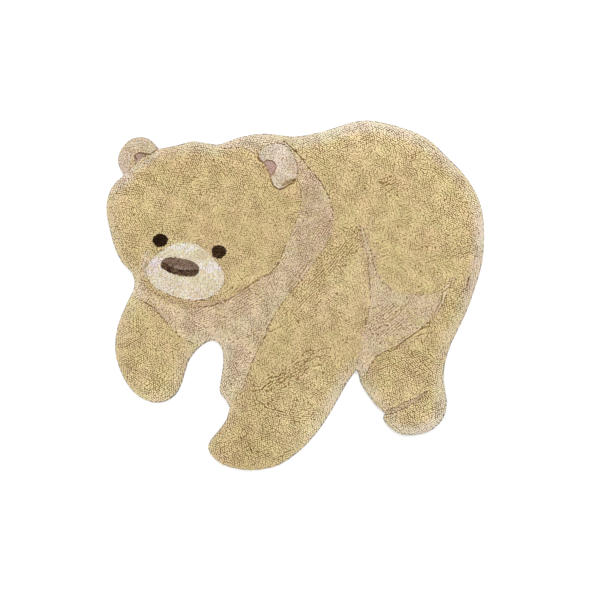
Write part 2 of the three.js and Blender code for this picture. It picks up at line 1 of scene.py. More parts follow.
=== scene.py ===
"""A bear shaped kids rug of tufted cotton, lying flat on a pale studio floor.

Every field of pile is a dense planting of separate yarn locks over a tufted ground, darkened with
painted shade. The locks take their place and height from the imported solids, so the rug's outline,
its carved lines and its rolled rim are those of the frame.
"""

import logging
import math
from dataclasses import dataclass, field, fields
from enum import Enum

import bpy
import numpy as np
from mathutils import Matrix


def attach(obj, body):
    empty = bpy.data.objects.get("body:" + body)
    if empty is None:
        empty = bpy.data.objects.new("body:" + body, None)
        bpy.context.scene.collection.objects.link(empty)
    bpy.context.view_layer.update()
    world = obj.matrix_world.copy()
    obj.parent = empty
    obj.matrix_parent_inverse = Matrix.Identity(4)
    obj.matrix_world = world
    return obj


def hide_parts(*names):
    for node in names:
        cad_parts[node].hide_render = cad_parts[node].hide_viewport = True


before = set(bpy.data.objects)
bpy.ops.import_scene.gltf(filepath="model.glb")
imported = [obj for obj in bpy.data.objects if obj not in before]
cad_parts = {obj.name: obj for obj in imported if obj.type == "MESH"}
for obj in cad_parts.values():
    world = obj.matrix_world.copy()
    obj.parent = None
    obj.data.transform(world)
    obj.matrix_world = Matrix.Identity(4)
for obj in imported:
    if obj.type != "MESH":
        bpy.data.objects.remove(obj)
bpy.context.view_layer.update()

LOG = logging.getLogger("bear_rug")
MM = 0.001
SEED = 20
ROOT_BODY = "root"

# Heights in the pile, in metres: the lowest root, the least height of a lock, how far a tip may
# stand over its solid, and the length of a thin lock.
LOWEST_ROOT = 3.6 * MM
SHORTEST_LOCK = 3.0 * MM
HIGHEST_TIP = 2.2 * MM
THIN_LOCK = 5.0 * MM

# Decimal places of a metre at which two corners are one.
DECIMALS = 6

# The numbers that the ground between the locks stores on its vertices: its low rise gives it the
# yarn's root colour, painted shade, and its shade darkens it further.
GROUND = {"rise": 0.12, "lot": 0.4, "kind": 0.2, "rim": 0.0, "tint": 0.0, "shade": 0.85}


class Slot(Enum):
    """The record's material slots."""

    CLOTH = "backing_cloth"
    HONEY = "honey_pile"
    ROSE = "rose_pile"
    PALE = "pale_pile"
    MAUVE = "mauve_pile"
    CREAM = "cream_pile"
    BROWN = "brown_pile"
    DARK_BROWN = "dark_brown_pile"
    NEAR_BLACK = "near_black_pile"


def srgb(red: float, green: float, blue: float) -> tuple[float, float, float, float]:
    """Gives a shader colour from screen values.

    Args:
        red, green, blue: screen values from 0 to 255.

    Returns:
        The linear colour, by the standard screen curve, with alpha 1.
    """
    def linear(value: float) -> float:
        """Gives one channel's linear value."""
        share = value / 255.0
        return share / 12.92 if share <= 0.04045 else ((share + 0.055) / 1.055) ** 2.4

    return (linear(red), linear(green), linear(blue), 1.0)


class Nodes:
    """A small helper that adds and joins shader nodes in one material."""

    SHADE_POWERS = (1.0, 1.3, 2.0)
    COTTON_ROUGHNESS = 0.95
    COTTON_SPECULAR = 0.15

    def __init__(self, name: str) -> None:
        """Makes an empty material with a Principled shader and its output.

        Args:
            name: the material's name.
        """
        self.material = bpy.data.materials.new(name)
        self.material.use_nodes = True
        self.tree = self.material.node_tree
        self.tree.nodes.clear()
        self.shader = self.tree.nodes.new("ShaderNodeBsdfPrincipled")
        output = self.tree.nodes.new("ShaderNodeOutputMaterial")
        self.join(self.shader.outputs["BSDF"], output.inputs["Surface"])

    def join(self, source: bpy.types.NodeSocket, target: bpy.types.NodeSocket) -> None:
        """Links one socket to another."""
        self.tree.links.new(source, target)

    def feed(self, target: bpy.types.NodeSocket, value: object) -> None:
        """Links a socket, or sets its value when value isn't a socket.

        Args:
            target: the input socket.
            value: a socket, a number or a colour.
        """
        if isinstance(value, bpy.types.NodeSocket):
            self.join(value, target)
        else:
            target.default_value = value

    def attribute(self, name: str) -> bpy.types.NodeSocket:
        """Gives the number stored on the mesh under a name.

        Args:
            name: the attribute's name.

        Returns:
            Its factor socket.
        """
        node = self.tree.nodes.new("ShaderNodeAttribute")
        node.attribute_name = name
        return node.outputs["Fac"]

    def place(self) -> bpy.types.NodeSocket:
        """Gives the object coordinates, in metres."""
        return self.tree.nodes.new("ShaderNodeTexCoord").outputs["Object"]

    def noise(self, scale: float, detail: float = 2.0, rough: float = 0.5) -> bpy.types.NodeSocket:
        """Gives smooth noise from 0 to 1.

        Args:
            scale: features to a metre.
            detail: number of finer layers.
            rough: strength of each finer layer.

        Returns:
            The noise's factor socket.
        """
        node = self.tree.nodes.new("ShaderNodeTexNoise")
        self.join(self.place(), node.inputs["Vector"])
        node.inputs["Scale"].default_value = scale
        node.inputs["Detail"].default_value = detail
        node.inputs["Roughness"].default_value = rough
        return node.outputs["Fac"]

    def math(self, operation: str, first: object, second: object = 0.0) -> bpy.types.NodeSocket:
        """Gives the result of one sum on two numbers or sockets.

        Args:
            operation: what the node does.
            first, second: numbers or sockets.

        Returns:
            The result's socket.
        """
        node = self.tree.nodes.new("ShaderNodeMath")
        node.operation = operation
        self.feed(node.inputs[0], first)
        self.feed(node.inputs[1], second)
        return node.outputs[0]

    def spread(self, value: object, low: float, high: float,
               to_low: float = 0.0, to_high: float = 1.0) -> bpy.types.NodeSocket:
        """Maps low..high smoothly onto to_low..to_high and clamps outside it.

        Args:
            value: a number or socket.
            low, high: the ends that it runs between.
            to_low, to_high: what they become.

        Returns:
            The result's socket.
        """
        node = self.tree.nodes.new("ShaderNodeMapRange")
        node.interpolation_type = "SMOOTHSTEP"
        self.feed(node.inputs["Value"], value)
        node.inputs["From Min"].default_value = low
        node.inputs["From Max"].default_value = high
        node.inputs["To Min"].default_value = to_low
        node.inputs["To Max"].default_value = to_high
        return node.outputs["Result"]

    def swing(self, value: object, reach: float, change: float) -> bpy.types.NodeSocket:
        """Maps a value from reach below to reach above a half onto 1 less and 1 more change."""
        return self.spread(value, 0.5 - reach, 0.5 + reach, 1.0 - change, 1.0 + change)

    def mix(self, share: object, first: object, second: object) -> bpy.types.NodeSocket:
        """Gives a blend of two colours or colour sockets.

        Args:
            share: the second's share, from 0 to 1.
            first, second: the colours.

        Returns:
            The blend's socket.
        """
        node = self.tree.nodes.new("ShaderNodeMix")
        node.data_type = "RGBA"
        self.feed(node.inputs[0], share)
        self.feed(node.inputs[6], first)
        self.feed(node.inputs[7], second)
        return node.outputs[2]

    def brighten(self, colour: object, factor: bpy.types.NodeSocket) -> bpy.types.NodeSocket:
        """Gives a colour times a number.

        Args:
            colour: a colour or socket.
            factor: the number's socket.

        Returns:
            The product's socket.
        """
        node = self.tree.nodes.new("ShaderNodeVectorMath")
        node.operation = "SCALE"
        self.feed(node.inputs[0], colour)
        self.feed(node.inputs["Scale"], factor)
        return node.outputs["Vector"]

    def by_channel(self, colour: object,
                   factors: list[bpy.types.NodeSocket]) -> bpy.types.NodeSocket:
        """Gives a colour with red, green and blue each times its own number.

        Args:
            colour: a colour or socket.
            factors: the three numbers' sockets.

        Returns:
            The product's socket.
        """
        joined = self.tree.nodes.new("ShaderNodeCombineXYZ")
        for factor, channel in zip(factors, joined.inputs):
            self.join(factor, channel)
        node = self.tree.nodes.new("ShaderNodeVectorMath")
        node.operation = "MULTIPLY"
        self.feed(node.inputs[0], colour)
        self.join(joined.outputs["Vector"], node.inputs[1])
        return node.outputs["Vector"]

    def shaded(self, colour: object, shade: bpy.types.NodeSocket) -> bpy.types.NodeSocket:
        """Gives a colour darkened by painted shade, green and blue more than red, as shaded pile is
        browner.
        """
        return self.by_channel(colour, [self.math("POWER", shade, power)
                                        for power in self.SHADE_POWERS])

    def matt(self, colour: bpy.types.NodeSocket) -> None:
        """Gives the shader a colour and the dull surface of cotton.

        Args:
            colour: the colour's socket.
        """
        self.join(colour, self.shader.inputs["Base Color"])
        self.shader.inputs["Roughness"].default_value = self.COTTON_ROUGHNESS
        self.shader.inputs["Specular IOR Level"].default_value = self.COTTON_SPECULAR

    def bump(self, height: bpy.types.NodeSocket, distance: float, strength: float) -> None:
        """Puts a bump of a height, in metres, on the shader.

        Args:
            height: the height's socket, from 0 to 1.
            distance: the height of 1, in metres.
            strength: the bump's share.
        """
        node = self.tree.nodes.new("ShaderNodeBump")
        node.inputs["Distance"].default_value = distance
        node.inputs["Strength"].default_value = strength
        self.join(height, node.inputs["Height"])
        self.join(node.outputs["Normal"], self.shader.inputs["Normal"])


@dataclass(frozen=True)
class Yarn:
    """The finish of one pile yarn, as screen colours from its shaded root to its lit tip.

    Fibres, patches and hues are noises: features to a metre, finer layers and their strength.
    """

    name: str
    slot: Slot
    root: tuple[float, float, float]
    body: tuple[float, float, float]
    tip: tuple[float, float, float]
    second: tuple[float, float, float]
    mixed: tuple[float, float, float]
    second_share: float = 0.35
    # The rim colour is a painted highlight: the pile along the rug's rim turns towards it.
    rim: tuple[float, float, float] = (220, 210, 193)
    lot_range: float = 0.035
    patch_range: float = 0.04
    hue_swing: tuple[float, float, float] = (0.015, -0.02, 0.03)
    fleck_range: float = 0.06
    noise_reach: float = 0.2
    hue_reach: float = 0.15
    fibres: tuple[float, float, float] = (900.0, 2.0, 0.6)
    patches: tuple[float, float, float] = (16.0, 3.0, 0.55)
    hues: tuple[float, float, float] = (14.0, 4.0, 0.65)
    fibre_height: float = 0.0006
    fibre_strength: float = 0.6
    sheen: float = 0.12
    sheen_roughness: float = 0.6
    root_ends: tuple[float, float] = (0.2, 0.85)
    tip_ends: tuple[float, float] = (0.55, 1.0)
    heather_softness: float = 0.15

    def build(self) -> bpy.types.Material:
        """Makes the yarn's material.

        The colour runs from root to body to tip by each lock's own height, with painted shade at
        the root and a painted highlight at the tip. A share of the locks is of the second colour,
        every lock is a little lighter or darker than the next, and broad noise gives lighter and
        darker patches, and others that are redder or greener. The stored tint turns a lock towards
        the colour of the field beside it, the stored rim towards the rim colour, a painted
        highlight, and the stored shade darkens it with painted shade.

        Returns:
            The material.
        """
        nodes = Nodes(self.name)
        rise = nodes.attribute("rise")
        fibre = nodes.noise(*self.fibres)
        patch = nodes.noise(*self.patches)
        hue = nodes.noise(*self.hues)
        kind = nodes.math("MULTIPLY", nodes.attribute("kind"), 0.5)
        middle = 1.0 - 0.5 * self.second_share
        heather = nodes.spread(nodes.math("ADD", kind, patch), middle - self.heather_softness,
                               middle + self.heather_softness)
        body = nodes.mix(heather, srgb(*self.body), srgb(*self.second))
        tip = nodes.mix(heather, srgb(*self.tip), srgb(*self.second))
        yarn = nodes.mix(nodes.spread(rise, *self.tip_ends), body, tip)
        yarn = nodes.mix(nodes.attribute("tint"), yarn, srgb(*self.mixed))
        colour = nodes.mix(nodes.spread(rise, *self.root_ends), srgb(*self.root), yarn)
        colour = nodes.mix(nodes.attribute("rim"), colour, srgb(*self.rim))
        factor = nodes.math("MULTIPLY", nodes.swing(nodes.attribute("lot"), 0.5, self.lot_range),
                            nodes.swing(patch, self.noise_reach, self.patch_range))
        factor = nodes.math("MULTIPLY", factor,
                            nodes.swing(fibre, self.noise_reach, self.fleck_range))
        colour = nodes.by_channel(colour, [nodes.swing(hue, self.hue_reach, swing)
                                           for swing in self.hue_swing])
        nodes.matt(nodes.shaded(nodes.brighten(colour, factor), nodes.attribute("shade")))
        nodes.shader.inputs["Sheen Weight"].default_value = self.sheen
        nodes.shader.inputs["Sheen Roughness"].default_value = self.sheen_roughness
        nodes.bump(fibre, self.fibre_height, self.fibre_strength)
        return nodes.material


@dataclass(frozen=True)
class Canvas:
    """The finish of the woven cotton cloth and its hem."""

    name: str = "woven_cotton_cloth"
    warp: tuple[float, float, float] = (184, 175, 163)
    weft: tuple[float, float, float] = (150, 141, 130)
    weave_scale: float = 35.0
    weave_distortion: float = 0.4
    fade: tuple[float, float] = (30.0, 3.0)
    fade_ends: tuple[float, float] = (0.3, 0.7)
    fading: tuple[float, float] = (0.9, 1.06)
    thread_height: float = 0.0004
    thread_strength: float = 0.7

    def build(self) -> bpy.types.Material:
        """Makes a plain weave: two crossed bands, whose product lifts each thread over the next.

        Returns:
            The material.
        """
        nodes = Nodes(self.name)
        bands = []
        for direction in ("X", "Y"):
            wave = nodes.tree.nodes.new("ShaderNodeTexWave")
            wave.bands_direction = direction
            nodes.join(nodes.place(), wave.inputs["Vector"])
            wave.inputs["Scale"].default_value = self.weave_scale
            wave.inputs["Distortion"].default_value = self.weave_distortion
            bands.append(wave.outputs["Fac"])
        weave = nodes.math("MULTIPLY", bands[0], bands[1])
        fade = nodes.noise(*self.fade)
        colour = nodes.mix(weave, srgb(*self.weft), srgb(*self.warp))
        fade = nodes.spread(fade, *self.fade_ends, *self.fading)
        nodes.matt(nodes.brighten(colour, fade))
        nodes.bump(weave, self.thread_height, self.thread_strength)
        return nodes.material


class Yarns:
    """The rug's yarns, each made into one material on first use."""

    HONEY = Yarn("honey_cotton_yarn", Slot.HONEY, (159, 130, 85), (214, 191, 138),
                 (232, 213, 164), (220, 201, 152), (216, 189, 158), second_share=0.3)
    ROSE = Yarn("rose_cotton_yarn", Slot.ROSE, (168, 141, 111), (212, 188, 157), (232, 214, 183),
                (220, 202, 162), (217, 198, 147), lot_range=0.05)
    PALE = Yarn("pale_cotton_yarn", Slot.PALE, (190, 169, 144), (222, 209, 178),
                (236, 227, 204), (229, 217, 202), (214, 188, 148), second_share=0.5,
                rim=(212, 200, 190), patch_range=0.03)
    MAUVE = Yarn("mauve_cotton_yarn", Slot.MAUVE, (160, 129, 117), (195, 164, 152),
                 (205, 177, 166), (188, 157, 146), (145, 112, 102), lot_range=0.04,
                 patch_range=0.03)
    CREAM = Yarn("cream_cotton_yarn", Slot.CREAM, (205, 190, 161), (226, 210, 174),
                 (237, 226, 196), (238, 232, 223), (238, 231, 239), second_share=0.5,
                 patch_range=0.03)
    BROWN = Yarn("brown_cotton_yarn", Slot.BROWN, (102, 79, 63), (146, 119, 96), (168, 141, 121),
                 (126, 96, 76), (192, 166, 153), lot_range=0.12)
    DARK_BROWN = Yarn("dark_brown_cotton_yarn", Slot.DARK_BROWN, (45, 28, 17), (105, 77, 56),
                      (136, 106, 83), (67, 43, 28), (134, 104, 87), second_share=0.45,
                      lot_range=0.3, patch_range=0.12, sheen=0.03)
    NEAR_BLACK = Yarn("near_black_cotton_yarn", Slot.NEAR_BLACK, (26, 15, 9), (58, 38, 24),
                      (80, 56, 37), (48, 30, 15), (84, 60, 36), lot_range=0.35, sheen=0.0)
    made: dict[str, bpy.types.Material] = {}

    @classmethod
    def material(cls, yarn: Yarn) -> bpy.types.Material:
        """Gives a yarn's material, made once.

        Args:
            yarn: the finish.

        Returns:
            Its material.
        """
        if yarn.name not in cls.made:
            cls.made[yarn.name] = yarn.build()
        return cls.made[yarn.name]


def put_in_scene(name: str, data: bpy.types.ID) -> bpy.types.Object:
    """Gives a new object of some data, linked to the scene.

    Args:
        name: the object's name.
        data: its mesh, lamp or camera.

    Returns:
        The object.
    """
    item = bpy.data.objects.new(name, data)
    bpy.context.scene.collection.objects.link(item)
    return item


def tube_faces(sides: int, rings: int) -> tuple[np.ndarray, np.ndarray]:
    """Gives the faces of a tube, whose corners are numbered ring after ring.

    Args:
        sides: corners in a ring.
        rings: number of rings.

    Returns:
        The quads of its sides and the triangles that close its first ring, from one corner.
    """
    side = np.arange(sides)
    after = (side + 1) % sides
    quad = np.stack([side, after, after + sides, side + sides], axis=1)
    quads = np.concatenate([quad + sides * level for level in range(rings - 1)])
    fan = np.arange(1, sides - 1)
    return quads, np.stack([np.zeros_like(fan), fan + 1, fan], axis=1)


def loop_area(loop: np.ndarray) -> float:
    """Gives a closed loop's area, positive where it runs anticlockwise, by the shoelace sum."""
    after = np.roll(loop, -1, axis=0)
    return float(np.sum(loop[:, 0] * after[:, 1] - after[:, 0] * loop[:, 1])) / 2


def node_triangles(name: str) -> np.ndarray:
    """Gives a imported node's triangles as an array of (triangle, corner, xyz), in metres.

    Args:
        name: the node's name.

    Returns:
        The triangles, (n, 3, 3).
    """
    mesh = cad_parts[name].data
    mesh.calc_loop_triangles()
    places = np.empty(len(mesh.vertices) * 3, np.float32)
    mesh.vertices.foreach_get("co", places)
    corners = np.empty(len(mesh.loop_triangles) * 3, np.int32)
    mesh.loop_triangles.foreach_get("vertices", corners)
    return places.reshape(-1, 3).astype(np.float64)[corners].reshape(-1, 3, 3)


def normals_of(triangles: np.ndarray) -> np.ndarray:
    """Gives the unit normal of each triangle, the cross product of two of its sides."""
    normal = np.cross(triangles[:, 1] - triangles[:, 0], triangles[:, 2] - triangles[:, 0])
    return normal / np.maximum(np.linalg.norm(normal, axis=1, keepdims=True), 1e-12)


class TopSurface:
    """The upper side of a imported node, read as a height over the floor."""

    STEEPEST = 0.2
    SMALLEST_AREA = 1e-12
    SLACK = 1e-6
    CHUNK = 3000

    def __init__(self, triangles: np.ndarray) -> None:
        """Keeps the triangles that face up.

        Args:
            triangles: the node's triangles.
        """
        up = triangles[normals_of(triangles)[:, 2] > self.STEEPEST]
        first, second = up[:, 1] - up[:, 0], up[:, 2] - up[:, 0]
        area = first[:, 0] * second[:, 1] - first[:, 1] * second[:, 0]
        kept = np.abs(area) > self.SMALLEST_AREA
        self.corner, self.first, self.second = up[kept, 0], first[kept], second[kept]
        self.area = area[kept]

    def height(self, points: np.ndarray) -> np.ndarray:
        """Gives the surface's height at each point, or NaN outside it.

        A point is in a triangle where both its shares along the two sides are at least 0 and add
        up to at most 1. The height is then the corner's plus each share of a side's rise.

        Args:
            points: plan points, (n, 2).

        Returns:
            Heights, (n,).
        """
        found = np.full(len(points), np.nan)
        slack = self.SLACK
        for start in range(0, len(points), self.CHUNK):
            part = points[start:start + self.CHUNK]
            dx = part[:, None, 0] - self.corner[None, :, 0]
            dy = part[:, None, 1] - self.corner[None, :, 1]
            u = (dx * self.second[:, 1] - dy * self.second[:, 0]) / self.area
            v = (dy * self.first[:, 0] - dx * self.first[:, 1]) / self.area
            inside = (u >= -slack) & (v >= -slack) & (u + v <= 1 + slack)
            z = self.corner[:, 2] + u * self.first[:, 2] + v * self.second[:, 2]
            z = np.where(inside, z, -np.inf).max(axis=1)
            found[start:start + self.CHUNK] = np.where(np.isfinite(z), z, np.nan)
        return found


class Footprint:
    """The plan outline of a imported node: the free edges of its flat underside."""

    FACING_DOWN = -0.99
    LEVEL_SLACK = 1e-5

    def __init__(self, triangles: np.ndarray) -> None:
        """Finds the edges that only one underside triangle uses.

        Args:
            triangles: the node's triangles.
        """
        under = triangles[normals_of(triangles)[:, 2] < self.FACING_DOWN]
        lowest = under[:, :, 2].min()
        under = under[under[:, :, 2].max(axis=1) < lowest + self.LEVEL_SLACK]
        flat = np.round(under[:, :, :2].reshape(-1, 2), DECIMALS)
        spots, index = np.unique(flat, axis=0, return_inverse=True)
        tri = index.reshape(-1, 3)
        edges = np.concatenate([tri[:, [0, 1]], tri[:, [1, 2]], tri[:, [2, 0]]])
        keys = np.sort(edges, axis=1)
        _, first, count = np.unique(keys, axis=0, return_index=True, return_counts=True)
        free = edges[first[count == 1]]
        self.spots = spots
        self.edges = free
        self.start = spots[free[:, 0]]
        self.end = spots[free[:, 1]]

    def nearest(self, points: np.ndarray) -> tuple[np.ndarray, np.ndarray]:
        """Gives each point's distance from the outline and the unit vector away from it."""
        return nearest_on(points, self.start, self.end)

    def loop(self) -> np.ndarray:
        """Gives the outline's points in order round its longest loop.

        Each point's place in the order is found by pointer doubling: the step to the next point
        is composed with itself until it has gone all the way round.

        Returns:
            Ordered plan points, (n, 2).
        """
        after = np.full(len(self.spots), -1)
        after[self.edges[:, 1]] = self.edges[:, 0]
        here = self.edges[0, 0]
        order = np.array([here])
        step = after.copy()
        while len(order) < len(self.edges):
            order = np.concatenate([order, step[order]])
            step = step[step]
        closing = np.flatnonzero(order[1:] == here)
        if len(closing):
            order = order[:closing[0] + 1]
        return self.spots[order]


def nearest_on(points: np.ndarray, start: np.ndarray,
               end: np.ndarray) -> tuple[np.ndarray, np.ndarray]:
    """Gives each point's distance from a set of straight segments.

    The nearest point of a segment is its start plus a share of its length, and the share is the
    projection of the point onto the segment, kept from 0 to 1.

    Args:
        points: plan points, (n, 2).
        start, end: the segments' ends, (m, 2).

    Returns:
        Distances (n,), and unit vectors (n, 2) from the nearest place to each point.
    """
    distance = np.empty(len(points))
    away = np.empty((len(points), 2))
    along = end - start
    length = np.maximum((along ** 2).sum(axis=1), 1e-14)
    for first in range(0, len(points), TopSurface.CHUNK):
        part = points[first:first + TopSurface.CHUNK]
        offset = part[:, None, :] - start[None, :, :]
        share = np.clip((offset * along).sum(axis=2) / length, 0.0, 1.0)
        gap = offset - share[:, :, None] * along
        squared = (gap ** 2).sum(axis=2)
        best = squared.argmin(axis=1)
        rows = np.arange(len(part))
        distance[first:first + len(part)] = np.sqrt(squared[rows, best])
        away[first:first + len(part)] = gap[rows, best]
    return distance, away / np.maximum(distance, 1e-9)[:, None]


def nearness(gap: np.ndarray, width: float) -> np.ndarray:
    """Gives 1 where a gap is nothing, falling evenly to 0 where it is a width in mm."""
    return np.clip(1 - gap / (width * MM), 0, 1)


@dataclass(frozen=True)
class Drift:
    """Smooth noise over the rug, by its wavelength in metres, its seed and its gain."""

    length: float
    seed: int
    gain: float = 1.0
    waves: int = 6
    pitch_range: tuple[float, float] = (0.7, 1.4)

    def at(self, points: np.ndarray) -> np.ndarray:
        """Gives the noise at plan points: the gain times twice the mean of random sine waves.

        Each wave has its own direction and phase, and a wavelength near the drift's own.

        Args:
            points: plan points, (n, 2).

        Returns:
            The noise, (n,), mostly between plus and minus the gain.
        """
        rng = np.random.default_rng(self.seed)
        angle = rng.uniform(0, 2 * np.pi, self.waves)
        pitch = rng.uniform(*self.pitch_range, self.waves) * 2 * np.pi / self.length
        phase = rng.uniform(0, 2 * np.pi, self.waves)
        waves = np.sin(points[:, 0:1] * (np.cos(angle) * pitch)
                       + points[:, 1:2] * (np.sin(angle) * pitch) + phase)
        return self.gain * (waves.mean(axis=1) * 2.0)


CREASE_BREAKS = Drift(0.016, 17, 0.7)
RIM_HIGHLIGHT_DRIFT = Drift(0.22, 13, 0.3)
THIN_DRIFTS = (Drift(0.075, 31, 0.75), Drift(0.03, 32, 0.35))
ROW_DRIFT = Drift(0.16, 40)
BARE_DRIFT = Drift(0.07, 5, 1.6)
LEAN_DRIFT = Drift(0.11, 7, 1.3)
TIP_DRIFT = Drift(0.045, 11, 0.5)
SEAM_DRIFTS = (Drift(0.03, 21, 1.4), Drift(0.03, 22, 1.4))
SEAM_SHADE_DRIFT = Drift(0.02, 23, 0.5)


@dataclass(frozen=True)
class Crease:
    """A parting in the pile along a line, in mm from the rug's middle, darkened with painted shade.
    """

    points: tuple[tuple[float, float], ...]
    width: float = 2.7
    depth: float = 2.8
    # How far painted shade darkens the pile across the crease's width.
    dark: float = 0.3
    parting: float = 1.25
    # How dark the row of thin locks on its line is: painted shade in the parting.
    seam: float = 0.6
    wholeness: float = 0.75
    weakest: float = 0.1
    reach: float = 3.0

    def walk(self, gap: float) -> np.ndarray:
        """Gives points along the line at an even gap, in mm, interpolated on its running length.

        Args:
            gap: distance between points, in mm.

        Returns:
            Plan points, (n, 2), in metres.
        """
        line = np.array(self.points)
        run = np.concatenate([[0], np.cumsum(np.linalg.norm(np.diff(line, axis=0), axis=1))])
        at = np.arange(0, run[-1], gap)
        return np.stack([np.interp(at, run, line[:, axis]) for axis in (0, 1)], axis=1) * MM

    def effect(self, points: np.ndarray) -> tuple[np.ndarray, np.ndarray]:
        """Gives how strongly the crease acts on each point, 1 on its line and 0 away from it.

        The strength falls as a bell curve with the distance from the line, and short smooth noise
        breaks the line up.

        Args:
            points: plan points, (n, 2).

        Returns:
            Strengths (n,) and unit vectors (n, 2) away from the line.
        """
        line = np.array(self.points) * MM
        low, high = line.min(axis=0), line.max(axis=0)
        reach = self.reach * self.width * MM
        near = ((points > low - reach) & (points < high + reach)).all(axis=1)
        strength, away = np.zeros(len(points)), np.zeros((len(points), 2))
        if near.any():
            distance, away[near] = nearest_on(points[near], line[:-1], line[1:])
            broken = self.wholeness + CREASE_BREAKS.at(points[near])
            broken = np.clip(broken, self.weakest, 1)
            strength[near] = np.exp(-(distance / (self.width * MM)) ** 2) * broken
        return strength, away


@dataclass(frozen=True)
class Patch:
    """A broad soft area of lighter or darker pile, by its middle and half sizes in mm."""

    x: float
    y: float
    half_width: float
    half_height: float
    amount: float

    def effect(self, points: np.ndarray) -> np.ndarray:
        """Gives the change of lightness at each point, a bell curve over the patch.

        Args:
            points: plan points, (n, 2).

        Returns:
            The changes, (n,).
        """
        across = (points[:, 0] - self.x * MM) / (self.half_width * MM)
        up = (points[:, 1] - self.y * MM) / (self.half_height * MM)
        return self.amount * np.exp(-(across ** 2 + up ** 2))


CARVED = (
    Crease(((-223, 7), (-182, 20), (-146, 40), (-111, 71), (-93, 71), (-56, 86)), dark=0.24,
           seam=0.45),
    Crease(((-535, 59), (-516, 50), (-498, 31)), dark=0.26, seam=0.4),
    Crease(((-500, 17), (-455, -21), (-412, -36), (-364, -45), (-313, -41), (-278, -31)),
           dark=0.22, seam=0.0),
    Crease(((539, 49), (532, 28), (508, 13), (504, -13), (491, -38), (476, -64), (464, -76),
            (462, -101), (435, -115), (416, -127), (399, -139), (380, -151), (363, -166),
            (348, -180), (329, -192), (312, -190)), dark=0.34, seam=0.6),
    Crease(((-473, 506), (-486, 495), (-503, 486), (-525, 489), (-538, 493), (-554, 483),
            (-547, 467)), width=2.8, dark=0.7, seam=0.65),
    Crease(((-132, 490), (-124, 466), (-110, 457)), width=3.0, dark=0.45, seam=0.64),
    Crease(((-84, 401), (-76, 378), (-65, 370), (-51, 366)), width=3.6, dark=0.75, seam=0.9),
    Crease(((-51, 367), (-37, 370), (-23, 381), (-9, 387), (0, 397)), width=3.4, dark=0.7,
           seam=0.88),
    Crease(((-44, 381), (-30, 388), (-18, 396), (-4, 398)), width=5.0, dark=1.0, seam=0.0),
    Crease(((-35, 528), (-17, 514), (1, 495), (18, 475), (34, 457)), width=2.4, dark=0.4,
           seam=0.66),
    Crease(((53, 479), (75, 466)), dark=0.25, seam=0.4),
    Crease(((-107, 460), (-96, 468), (-78, 464), (-68, 449), (-67, 438), (-75, 424),
            (-84, 413), (-94, 427)), width=2.4, dark=0.42, seam=0.4),
    Crease(((15, 434), (48, 384), (74, 360), (92, 350)), dark=0.3, seam=0.0),
)
PARTINGS = (
    Crease(((-146, -327), (-120, -324), (-101, -311), (-86, -298), (-54, -290)), dark=0.42,
           seam=0.8),
    Crease(((-86, -283), (-54, -277), (-46, -266), (-33, -268)), dark=0.42, seam=0.78),
    Crease(((-28, -279), (0, -279)), dark=0.36, seam=0.66),
    Crease(((14, -278), (23, -274), (33, -258), (46, -248)), dark=0.36, seam=0.7),
    Crease(((60, -243), (91, -237)), dark=0.36, seam=0.6),
    Crease(((-14, -232), (9, -214)), dark=0.4, seam=0.66),
    Crease(((18, -207), (23, -203), (36, -190), (60, -187)), dark=0.4, seam=0.7),
    Crease(((78, -186), (120, -179)), dark=0.4, seam=0.62),
    Crease(((-98, -330), (-72, -318)), dark=0.3, seam=0.6),
    Crease(((-70, -302), (-44, -296), (-30, -288)), dark=0.3, seam=0.6),
    Crease(((46, -226), (70, -212), (92, -208)), dark=0.3, seam=0.55),
    Crease(((28, -240), (44, -218)), dark=0.4, seam=0.66),
    Crease(((51, -208), (62, -193)), dark=0.4, seam=0.66),
    Crease(((-128, -361), (-96, -387), (-80, -390), (-44, -398)), dark=0.25),
    Crease(((-116, -444), (-109, -465), (-116, -496)), dark=0.25, seam=0.5),
    Crease(((-164, -503), (-149, -543)), dark=0.34),
    Crease(((-183, -493), (-164, -475)), dark=0.34),
    Crease(((-9, -419), (-1, -443)), dark=0.3),
    Crease(((-278, -44), (-227, -17), (-182, 7), (-142, 33), (-102, 46)), dark=0.16, seam=0.0),
    Crease(((-241, 11), (-214, 33)), dark=0.34),
    Crease(((-219, 9), (-190, 35)), dark=0.34),
    Crease(((-184, 55), (-166, 71)), dark=0.34),
    Crease(((-102, -121), (-91, -98), (-76, -79)), dark=0.42, seam=0.8),
    Crease(((-124, -160), (-100, -136)), dark=0.42, seam=0.7),
    Crease(((-93, -125), (-47, -105)), dark=0.3),
    Crease(((-27, 14), (-13, 31), (8, 52)), dark=0.36),
    Crease(((-32, 26), (-9, 52)), dark=0.3),
    Crease(((10, 60), (28, 86), (50, 122)), dark=0.34, seam=0.6),
    Crease(((0, 68), (22, 98)), dark=0.3, seam=0.5),
    Crease(((327, -86), (353, -67), (387, -28)), dark=0.26, seam=0.45),
    Crease(((336, -69), (356, -50), (380, -30)), dark=0.24, seam=0.4),
    Crease(((274, -122), (300, -103)), dark=0.28),
    Crease(((411, -142), (438, -132), (472, -127)), dark=0.3),
    Crease(((292, 386), (318, 396)), dark=0.3),
    Crease(((297, 374), (325, 384)), dark=0.3),
    Crease(((132, 378), (171, 336), (202, 281), (222, 240)), dark=0.1, seam=0.0),
)
CREASES = CARVED + PARTINGS
# The most that a crease's painted shade takes off the pile.
DARKEST_CREASE_SHADE = 0.6
# The rim's painted highlight where no patch changes it.
BASE_RIM_HIGHLIGHT = 0.38
THINNESS = 0.45
